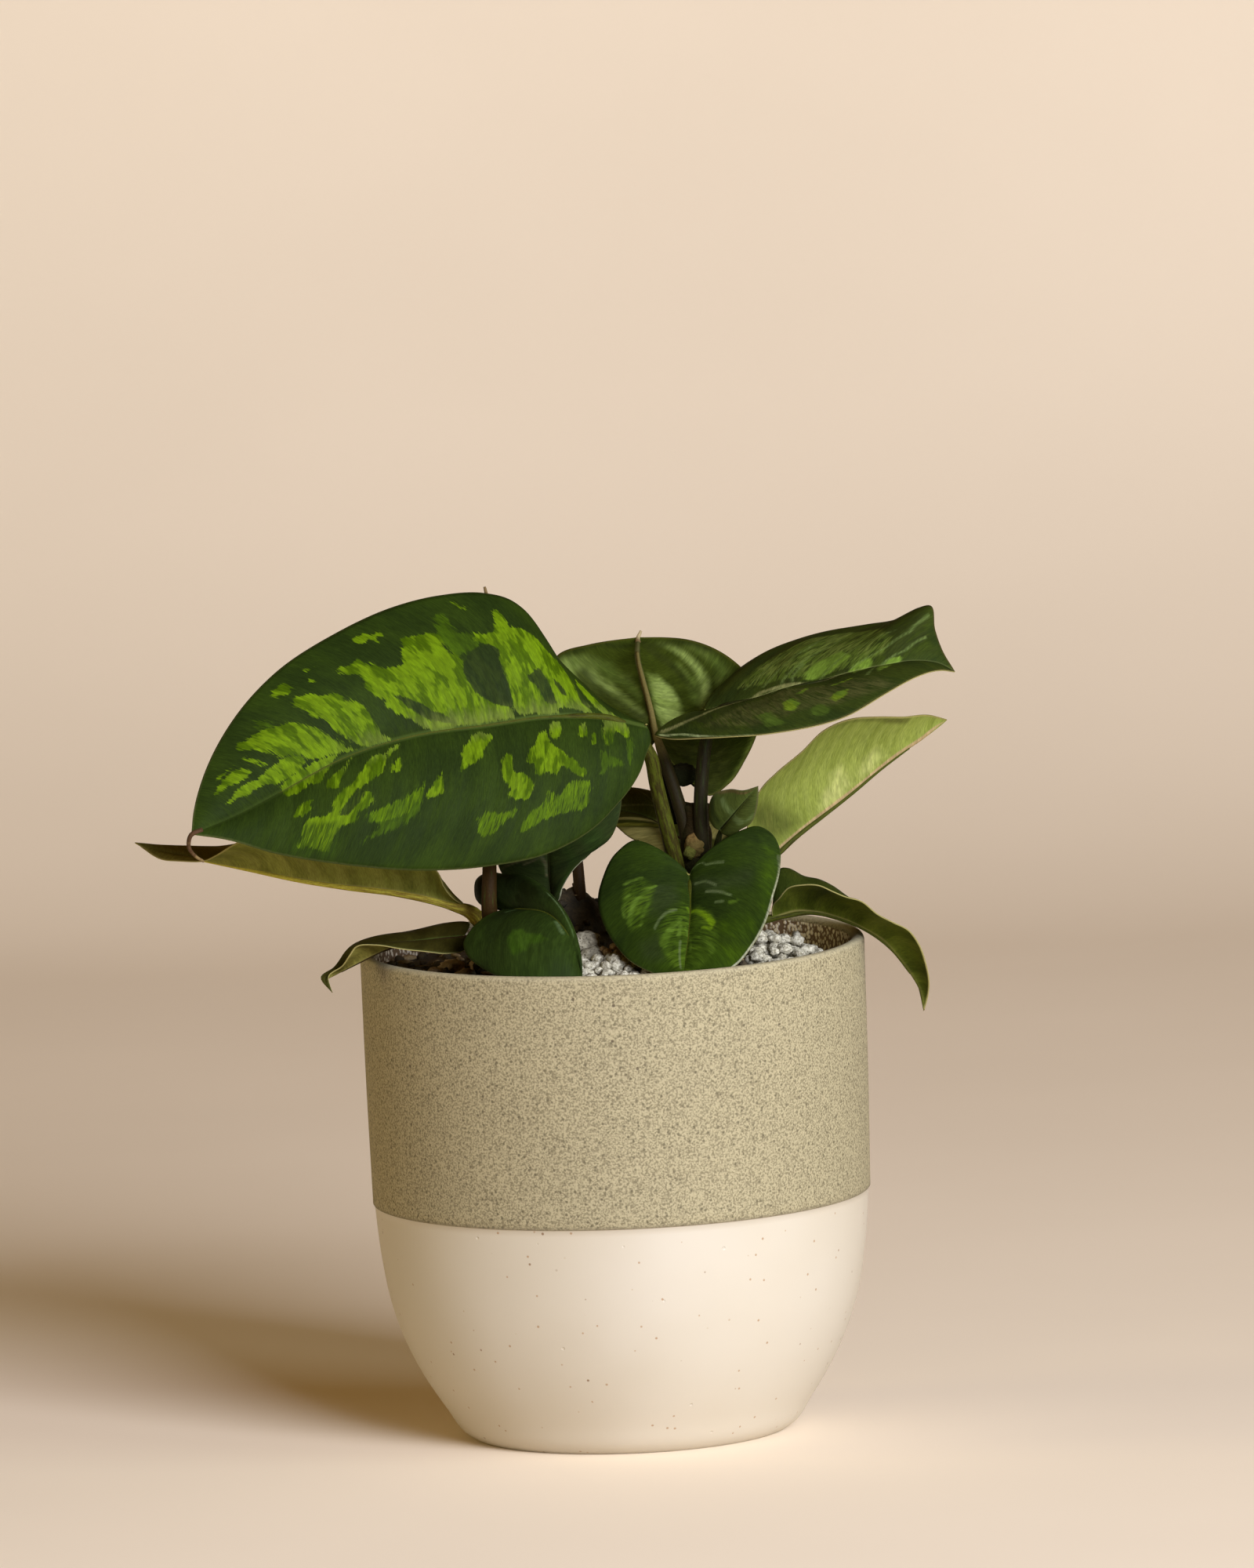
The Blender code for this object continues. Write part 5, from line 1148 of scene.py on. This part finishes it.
def pot_surface():
    """Stoneware: dense fine speckle above with a painted shadow line at its foot, cream glaze with a few iron
    specks below.
    """
    g = Graph("pot_stoneware", 0.6)
    place = g.place()
    height = g.parts(place)[2]
    grain = g.noise(place, 1500.0, 2.0, 0.6)
    coarse = g.noise(place, 520.0, 2.0, 0.6)
    cloud = g.noise(place, 14.0, 2.0)
    band = g.mix(g.step(grain, 0.34, 0.62), rgb(109, 99, 71), rgb(156, 145, 110))
    band = g.mix(g.specks(place, 620.0, (0.62, 0.64), (0.16, 0.40), 0.75), band, rgb(80, 71, 47))
    band = g.mix(g.step(coarse, 0.55, 0.72, 0.0, 0.25), band, rgb(102, 92, 64))
    band = g.shade(band, cloud, 0.95, 1.05)
    pits = g.specks(place, 150.0, (0.80, 0.82), (0.05, 0.10), 0.8)
    band = g.mix(pits, band, rgb(74, 62, 42))
    # painted shadow: a darker line at the foot of the band, where the band's small step throws shade
    band = g.mix(g.step(height, *BAND_FOOT_SHADOW, 0.6, 0.0), band, rgb(102, 92, 69))
    band = g.mix(g.step(height, *RIM_FROM, 0.0, 0.45), band, rgb(174, 162, 127))
    cream = g.mix(g.step(cloud, 0.3, 0.7), rgb(180, 169, 147), rgb(185, 175, 155))
    for scale, share, size, tone in IRON_SPECKS:
        cover = g.specks(place, scale, (share, share + 0.01), (size * 0.6, size), 0.85)
        cream = g.mix(cover, cream, tone)
    is_band = g.step(height, *BAND_FROM)
    colour = g.mix(is_band, cream, band)
    g.bump(g.add(g.times(grain, is_band), g.times(pits, -2.0)), 0.0002, 0.5)
    g.bump(g.noise(place, 60.0, 2.0), 0.0004, 0.2)
    return g.finish(colour, g.step(is_band, 0.0, 1.0, 0.42, 0.85))


def inside_surface():
    """The pot's rough brown inner wall."""
    g = Graph("pot_inside", 0.9)
    place = g.place()
    grain = g.noise(place, 700.0, 3.0, 0.65)
    near, _ = g.cells(place, 640.0)
    stain = g.noise(place, 60.0, 3.0, 0.6)
    dots = g.step(g.add(near, g.swing(grain, 0.3)), 0.30, 0.62, 1.0, 0.0)
    colour = g.mix(dots, rgb(112, 88, 60), rgb(240, 226, 198))
    colour = g.mix(g.step(stain, 0.45, 0.7, 0.0, 0.4), colour, rgb(128, 104, 76))
    g.bump(dots, 0.0005, 0.6)
    return g.finish(colour)


def make_pot():
    """The pot as one turned shell."""
    shape = Shape()
    turned(FOOT + eased(BOWL, 40) + COLOUR_STEP + eased(BAND, 24) + eased(LIP, 12)[1:], 0, shape)
    turned(eased(INSIDE, 40) + INNER_FLOOR, 1, shape)
    shape.build("pot_visual", [pot_surface(), inside_surface()], "pot")


# Soil, stones and crowns

# the soil as in the CAD: its radius, heights at the middle and the wall, tilt, and the mound
SOIL_RADIUS = 77.0
SOIL_MIDDLE, SOIL_EDGE, SOIL_TILT = 158.0, 152.0, 2.0
MOUND_AT, MOUND_WIDTH, MOUND_HEIGHT = (-14.0, 10.0), 17.0, 20.0


def soil_height(x, y):
    """Height of the soil in the CAD: low at the wall, a loose mound between the crowns."""
    out = min(math.hypot(x, y) / SOIL_RADIUS, 1.0)
    edge = SOIL_EDGE - SOIL_TILT * x / SOIL_RADIUS
    height = SOIL_MIDDLE + (edge - SOIL_MIDDLE) * out**2.2
    off = math.hypot(x - MOUND_AT[0], y - MOUND_AT[1]) / MOUND_WIDTH
    height += MOUND_HEIGHT * math.exp(-off**2.4)
    rough = math.sin(x * 0.31 + 1.0) * math.cos(y * 0.27 + 0.5) + 0.6 * math.sin(0.53 * x - 0.41 * y)
    return height + 0.9 * rough * (1.0 - out**6)


def lump(centre, radii, seed, detail, rough, tumbled=True):
    """A rough lump's points and faces."""
    dice = random.Random(seed)
    body = bmesh.new()
    bmesh.ops.create_icosphere(body, subdivisions=detail, radius=1.0)
    offset = Vector([dice.uniform(-50, 50) for _ in range(3)])
    turn = Matrix.Rotation(dice.uniform(0, 6.28), 3, "Z") @ Matrix.Rotation(dice.uniform(-0.6, 0.6), 3, "X")
    points = []
    for v in body.verts:
        swell = 1.0 + rough * noise.fractal(v.co * 1.4 + offset, 0.8, 2.0, 4)
        p = Vector((v.co.x * radii[0], v.co.y * radii[1], v.co.z * radii[2])) * swell
        points.append(tuple(Vector(centre) + (turn @ p if tumbled else p)))
    faces = [tuple(v.index for v in f.verts) for f in body.faces]
    body.free()
    return points, faces


def soil_surface(name, dark, light):
    """Moist crumbly soil."""
    g = Graph(name, 0.85)
    place = g.place()
    grain = g.noise(place, 900.0, 4.0, 0.7)
    patch = g.noise(place, 120.0, 3.0, 0.6)
    colour = g.mix(g.step(patch, 0.35, 0.65), dark, light)
    colour = g.shade(colour, grain, 0.5, 1.5)
    g.bump(grain, 0.0006, 0.8)
    return g.finish(colour)


# soil: rings and spokes, reach and low end of the skirt, number and reach of the clods
SOIL_MESH = (60, 160)
SOIL_REACH = SOIL_RADIUS + 0.2
SKIRT_FOOT = 148.0
CLODS = 620
CLOD_REACH = 75.0
# single bark pieces and crumbs: centre and radii
BARK = [((-52.5, -12.0, 156.6), (5.4, 4.0, 2.3)), ((-43.6, -16.0, 156.6), (4.4, 3.6, 2.6)),
        ((-58.0, -14.0, 155.2), (3.6, 3.0, 1.8)), ((-48.0, -22.0, 155.2), (3.2, 2.6, 1.6)),
        ((-1.6, -35.0, 162.4), (1.7, 1.5, 1.2)), ((0.6, -34.0, 164.0), (1.4, 1.3, 1.1)),
        ((-3.0, -33.5, 163.4), (1.2, 1.1, 1.0)), ((1.6, -36.0, 162.4), (1.3, 1.2, 1.0))]


def make_soil():
    """A crumbly disc of soil with clods and chips on it."""
    shape = Shape()
    rings, spokes = SOIL_MESH
    points = []
    for i in range(rings + 1):
        r = SOIL_REACH * i / rings
        for k in range(spokes if i else 1):
            a = 2 * math.pi * k / spokes
            x, y = r * math.cos(a), r * math.sin(a)
            rise = noise.fractal(Vector((x * 0.22, y * 0.22, 3.0)), 0.9, 2.1, 5) * 1.1
            points.append((x, y, soil_height(x, y) + rise * (1.0 - 0.6 * (i / rings) ** 6) - 0.4))
    faces = []
    for i in range(rings):
        for k in range(spokes):
            n = (k + 1) % spokes
            outer, outer_next = 1 + i * spokes + k, 1 + i * spokes + n
            if i == 0:
                faces.append((0, outer, outer_next))
            else:
                faces.append((outer - spokes, outer, outer_next, outer_next - spokes))
    shape.add(points, faces, 0)
    wall = [points[1 + (rings - 1) * spokes + k] for k in range(spokes)]
    low = [(x, y, SKIRT_FOOT) for x, y, _ in wall]
    skirt = [(k, spokes + k, spokes + (k + 1) % spokes, (k + 1) % spokes) for k in range(spokes)]
    shape.add(wall + low, skirt, 0)
    dice = random.Random(3)
    for number in range(CLODS):
        a, r = dice.uniform(0, 2 * math.pi), CLOD_REACH * math.sqrt(dice.random())
        x, y = r * math.cos(a), r * math.sin(a)
        size = dice.uniform(0.7, 2.0)
        chip = dice.random() < 0.3
        radii = (size * 1.8, size * 0.8, size * 0.35) if chip else (size, size * 0.9, size * 0.7)
        centre = (x, y, soil_height(x, y) + 0.2 * size)
        p, f = lump(centre, radii, 900 + number, 2, 0.45)
        shape.add(p, f, 1 if chip else 0)
    for number, (centre, radii) in enumerate(BARK):
        p, f = lump(centre, radii, 60 + number, 3, 0.35)
        shape.add(p, f, 2)
    surfaces = [soil_surface("soil_dark", rgb(36, 30, 14), rgb(66, 54, 30)),
                soil_surface("soil_chips", rgb(108, 88, 56), rgb(150, 128, 90)),
                soil_surface("soil_bark", rgb(150, 124, 88), rgb(184, 156, 120))]
    shape.build("soil_visual", surfaces, "soil")


def stone_surface(name, base, dark, scale):
    """Pale porous stone."""
    g = Graph(name, 0.85)
    place = g.place()
    grain = g.noise(place, scale, 4.0, 0.65)
    near, _ = g.cells(place, scale * 1.3)
    pores = g.step(near, 0.12, 0.30, 1.0, 0.0)
    colour = g.mix(g.step(grain, 0.3, 0.7), dark, base)
    colour = g.mix(g.times(pores, 0.6), colour, dark)
    g.bump(g.add(grain, g.times(pores, -0.7)), 0.0006, 0.8)
    return g.finish(colour)


MOST_TRIES = 20000
# heaps of pumice: name, centre, reach, number, size and height of the grains, and seed
HEAPS = (("pumice_front", (2.0, -44.0), (17.0, 16.0), 110, 2.4, 2.6, 5),
         ("pumice_right", (53.0, -13.0), (16.0, 18.0), 110, 2.5, 4.6, 26))
# the grey stones: centre, radii and seed
GREY_STONES = (((-8.4, -28.0, 165.4), (4.9, 4.3, 3.5), 7), ((-6.8, -31.0, 160.2), (5.0, 4.5, 4.0), 18))


def make_heap(name, centre, reach, count, size, lift, seed, surface):
    """Small rough grains heaped over an oval patch of soil."""
    dice = random.Random(seed)
    shape = Shape()
    laid = []
    tries = 0
    while len(laid) < count and tries < MOST_TRIES:
        tries += 1
        a, r = dice.uniform(0, 2 * math.pi), math.sqrt(dice.random())
        x, y = centre[0] + reach[0] * r * math.cos(a), centre[1] + reach[1] * r * math.sin(a)
        big = size * dice.uniform(0.6, 1.25)
        z = soil_height(x, y) + lift * (1.0 + 0.8 * (1.0 - r * r)) * dice.uniform(0.0, 1.0)
        if any(math.dist((x, y, z), q) < 0.72 * (big + w) for q, w in laid):
            continue
        laid.append(((x, y, z), big))
        p, f = lump((x, y, z), (big, big * dice.uniform(0.7, 1.0), big * dice.uniform(0.6, 0.9)),
                    seed * 1000 + len(laid), 3, 0.3)
        shape.add(p, f)
    shape.build(name + "_visual", [surface], name)


def make_stones():
    """Two pumice heaps and two grey stones."""
    white = stone_surface("pumice_white", rgb(208, 201, 176), rgb(128, 120, 96), 900.0)
    for heap in HEAPS:
        make_heap(*heap, white)
    shape = Shape()
    for centre, radii, seed in GREY_STONES:
        shape.add(*lump(centre, radii, seed, 4, 0.25))
    grey = stone_surface("grey_stone", rgb(170, 162, 136), rgb(110, 102, 82), 500.0)
    shape.build("grey_pebbles_visual", [grey], "grey_pebbles")


def crown_surface(name, brown, green):
    """Knobbly rhizome with leaf scars."""
    g = Graph(name, 0.8, Specular_IOR_Level=0.05)
    place = g.place()
    bark = g.noise(place, 300.0, 4.0, 0.65, (1.0, 1.0, 2.6))
    cloud = g.noise(place, 60.0, 2.0)
    colour = g.mix(g.step(cloud, 0.4, 0.65), brown, green)
    colour = g.shade(colour, bark, 0.6, 1.4)
    g.bump(bark, 0.0012, 0.7)
    return g.finish(colour)


# rhizomes as in the CAD: points and radii
CROWNS = {
    "crown_right": ([(24.0, -3.0, 148.0), (25.0, -3.0, 160.0), (27.0, -3.5, 176.0), (28.5, -4.5, 187.0),
                     (29.0, -4.5, 197.0), (29.0, -4.5, 206.0)], [7.0, 7.5, 7.0, 6.0, 5.0, 4.2]),
    "crown_left": ([(-37.0, -18.0, 148.0), (-37.5, -20.0, 155.0), (-38.0, -22.0, 168.0)], [7.0, 7.5, 6.0])}


# on the right crown: knob, bud and a dark lump standing in for the shade between the stems (centre, radii,
# material), and a dry sheath beside the stems
KNOBS = [((28.4, -8.6, 193.0), (3.5, 3.2, 4.1), 1), ((26.5, -11.2, 191.0), (2.0, 1.6, 2.3), 2),
         ((25.6, -0.5, 215.4), (4.4, 1.3, 3.8), 3)]
SHEATH = [(22.5, -2.0, 199.5), (21.5, -2.0, 206.5), (20.0, -1.5, 212.5), (18.5, -1.0, 219.5),
          (18.0, 0.0, 224.5)]
SHEATH_RADII = (1.3, 1.7, 1.7, 1.4, 0.5)
SHEATH_MESH = (16, 40)
# the crowns' sides and rings, how far bark and leaf scars swell them, and how closely the scars follow
CROWN_MESH = (40, 60)
BARK_SWELL = 0.10
SCAR_SWELL, SCAR_RATE = 0.05, 40.0


def stretched(points, radii, stations):
    """Points of a smooth curve, and the radii spread over them."""
    share = np.linspace(0, 1, stations)
    return curve(points, share), np.interp(share, np.linspace(0, 1, len(radii)), radii)


def make_crowns():
    """The two rhizome crowns."""
    surfaces = [crown_surface("crown_bark", rgb(34, 26, 10), rgb(32, 32, 12)),
                crown_surface("crown_scar", rgb(92, 72, 38), rgb(78, 66, 32)),
                crown_surface("crown_bud", rgb(86, 82, 34), rgb(72, 72, 28)),
                # the last material serves both the dry sheath and the dark lump that stands in for shade
                # between the stems
                crown_surface("crown_sheath_and_shade", rgb(26, 20, 8), rgb(20, 22, 6))]
    sides, rings = CROWN_MESH
    for name, (points, radii) in CROWNS.items():
        path, thick = stretched(points, radii, 9)
        ring, faces, run, _ = tube(path, thick, sides, rings)
        shape = Shape()
        centre = np.repeat(curve(path, np.linspace(0, 1, rings + 1)), sides, axis=0)
        out = ring - centre
        swell = np.array([noise.fractal(Vector(p * 0.16), 0.9, 2.0, 4) for p in ring])
        swell = 1.0 + BARK_SWELL * swell + SCAR_SWELL * np.sin(run * SCAR_RATE)
        shape.add(centre + out * swell[:, None], faces)
        if name == "crown_right":
            for number, (place, radii, material) in enumerate(KNOBS):
                points, faces = lump(place, radii, 40 + number, 4, 0.18, tumbled=False)
                shape.add(points, faces, material)
            ring, faces, _, _ = tube(*stretched(SHEATH, SHEATH_RADII, 12), *SHEATH_MESH)
            shape.add(ring, faces, 3)
        shape.build(name + "_visual", surfaces, name)


# Stage, light and camera

def sweep_surface():
    """Warm beige paper."""
    g = Graph("sweep_paper", 0.9)
    place = g.place()
    cloud = g.noise(place, 3.0, 3.0)
    colour = g.mix(g.step(cloud, 0.3, 0.7), rgb(244, 227, 200), rgb(248, 231, 204))
    return g.finish(colour)


# the sweep in metres: where the floor starts and its bend begins, the bend's radius, end and steps, and
# half the width
SWEEP_FRONT, SWEEP_BEND_AT = -4.5, 1.15
SWEEP_BEND, SWEEP_END, SWEEP_STEPS = 1.1, math.radians(47.0), 24
SWEEP_HALF = 4.5


def make_stage():
    """A low sweep: a wide floor that bends up behind, just far enough to fill the main view."""
    profile = [(SWEEP_FRONT, 0.0), (0.0, 0.0), (SWEEP_BEND_AT, 0.0)]
    for k in range(1, SWEEP_STEPS + 1):
        a = SWEEP_END * k / SWEEP_STEPS
        profile.append((SWEEP_BEND_AT + SWEEP_BEND * math.sin(a), SWEEP_BEND - SWEEP_BEND * math.cos(a)))
    points = [(x, y, z) for y, z in profile for x in (-SWEEP_HALF, SWEEP_HALF)]
    faces = [(2 * k, 2 * k + 1, 2 * k + 3, 2 * k + 2) for k in range(len(profile) - 1)]
    mesh = bpy.data.meshes.new("sweep")
    mesh.from_pydata(points, [], faces)
    mesh.polygons.foreach_set("use_smooth", np.full(len(faces), True))
    mesh.materials.append(sweep_surface())
    made = bpy.data.objects.new("sweep", mesh)
    bpy.context.scene.collection.objects.link(made)


def lamp(name, place, target, size, power, colour):
    """A square soft light that looks at a point."""
    data = bpy.data.lights.new(name, "AREA")
    data.size = size
    data.energy = power
    data.color = colour
    made = bpy.data.objects.new(name, data)
    made.location = place
    made.rotation_euler = (Vector(target) - Vector(place)).to_track_quat("-Z", "Y").to_euler()
    bpy.context.scene.collection.objects.link(made)


# name, azimuth and elevation in degrees, distance and size in metres, power in watts, colour
LAMPS = (("key", 29.0, 20.0, 4.0, 2.0, 312.0, (0.80, 0.843, 1.0)),
         ("side", 65.0, 22.0, 4.0, 1.5, 36.0, (0.90, 1.0, 0.97)),
         ("fill", -90.0, 10.0, 4.0, 1.2, 38.0, (1.0, 0.88, 0.50)))
LIT_POINT = (0.0, 0.0, 0.1)
AMBIENT_COLOUR = (1.0, 0.5, 0.08, 1.0)
AMBIENT_STRENGTH = 0.14


def make_lights():
    """A key and a side light from the right front, a weak fill from the left and a warm ambient."""
    for name, azimuth, elevation, distance, size, power, colour in LAMPS:
        azimuth, elevation = math.radians(azimuth), math.radians(elevation)
        place = (distance * math.sin(azimuth) * math.cos(elevation),
                 -distance * math.cos(azimuth) * math.cos(elevation),
                 distance * math.sin(elevation) + LIT_POINT[2])
        lamp(name, place, LIT_POINT, size, power, colour)
    world = bpy.data.worlds.new("ambient")
    bpy.context.scene.world = world
    world.use_nodes = True
    background = world.node_tree.nodes["Background"]
    background.inputs["Color"].default_value = AMBIENT_COLOUR
    background.inputs["Strength"].default_value = AMBIENT_STRENGTH
    bpy.context.scene.view_settings.view_transform = "Standard"


def make_camera():
    """The fitted camera, aimed so that the photograph's frame needs no shift."""
    up_tilt, roll = CAMERA_ELEVATION, CAMERA_ROLL
    right = Vector((1.0, 0.0, 0.0))
    up = Vector((0.0, math.sin(up_tilt), math.cos(up_tilt)))
    back = Vector((0.0, -math.cos(up_tilt), math.sin(up_tilt)))
    x_axis = math.cos(roll) * right - math.sin(roll) * up
    y_axis = math.sin(roll) * right + math.cos(roll) * up
    focal = PIXELS_PER_METRE * CAMERA_RANGE
    aside = (PHOTO_SIZE[0] / 2 - SIGHT_PIXEL[0]) / focal
    above = (SIGHT_PIXEL[1] - PHOTO_SIZE[1] / 2) / focal
    z_axis = (back - aside * x_axis - above * y_axis).normalized()
    x_axis = y_axis.cross(z_axis).normalized()
    y_axis = z_axis.cross(x_axis)
    data = bpy.data.cameras.new("camera")
    data.sensor_fit = "AUTO"
    data.sensor_width = SENSOR
    data.lens = focal / max(PHOTO_SIZE) * SENSOR
    data.clip_start, data.clip_end = 0.5, 30.0
    made = bpy.data.objects.new("camera", data)
    turn = Matrix((x_axis, y_axis, z_axis)).transposed().to_4x4()
    made.matrix_world = Matrix.Translation(Vector(SIGHT_POINT) + back * CAMERA_RANGE) @ turn
    bpy.context.scene.collection.objects.link(made)
    bpy.context.scene.camera = made


make_pot()
make_soil()
make_stones()
make_crowns()
make_leaves()
make_stage()
make_lights()
make_camera()
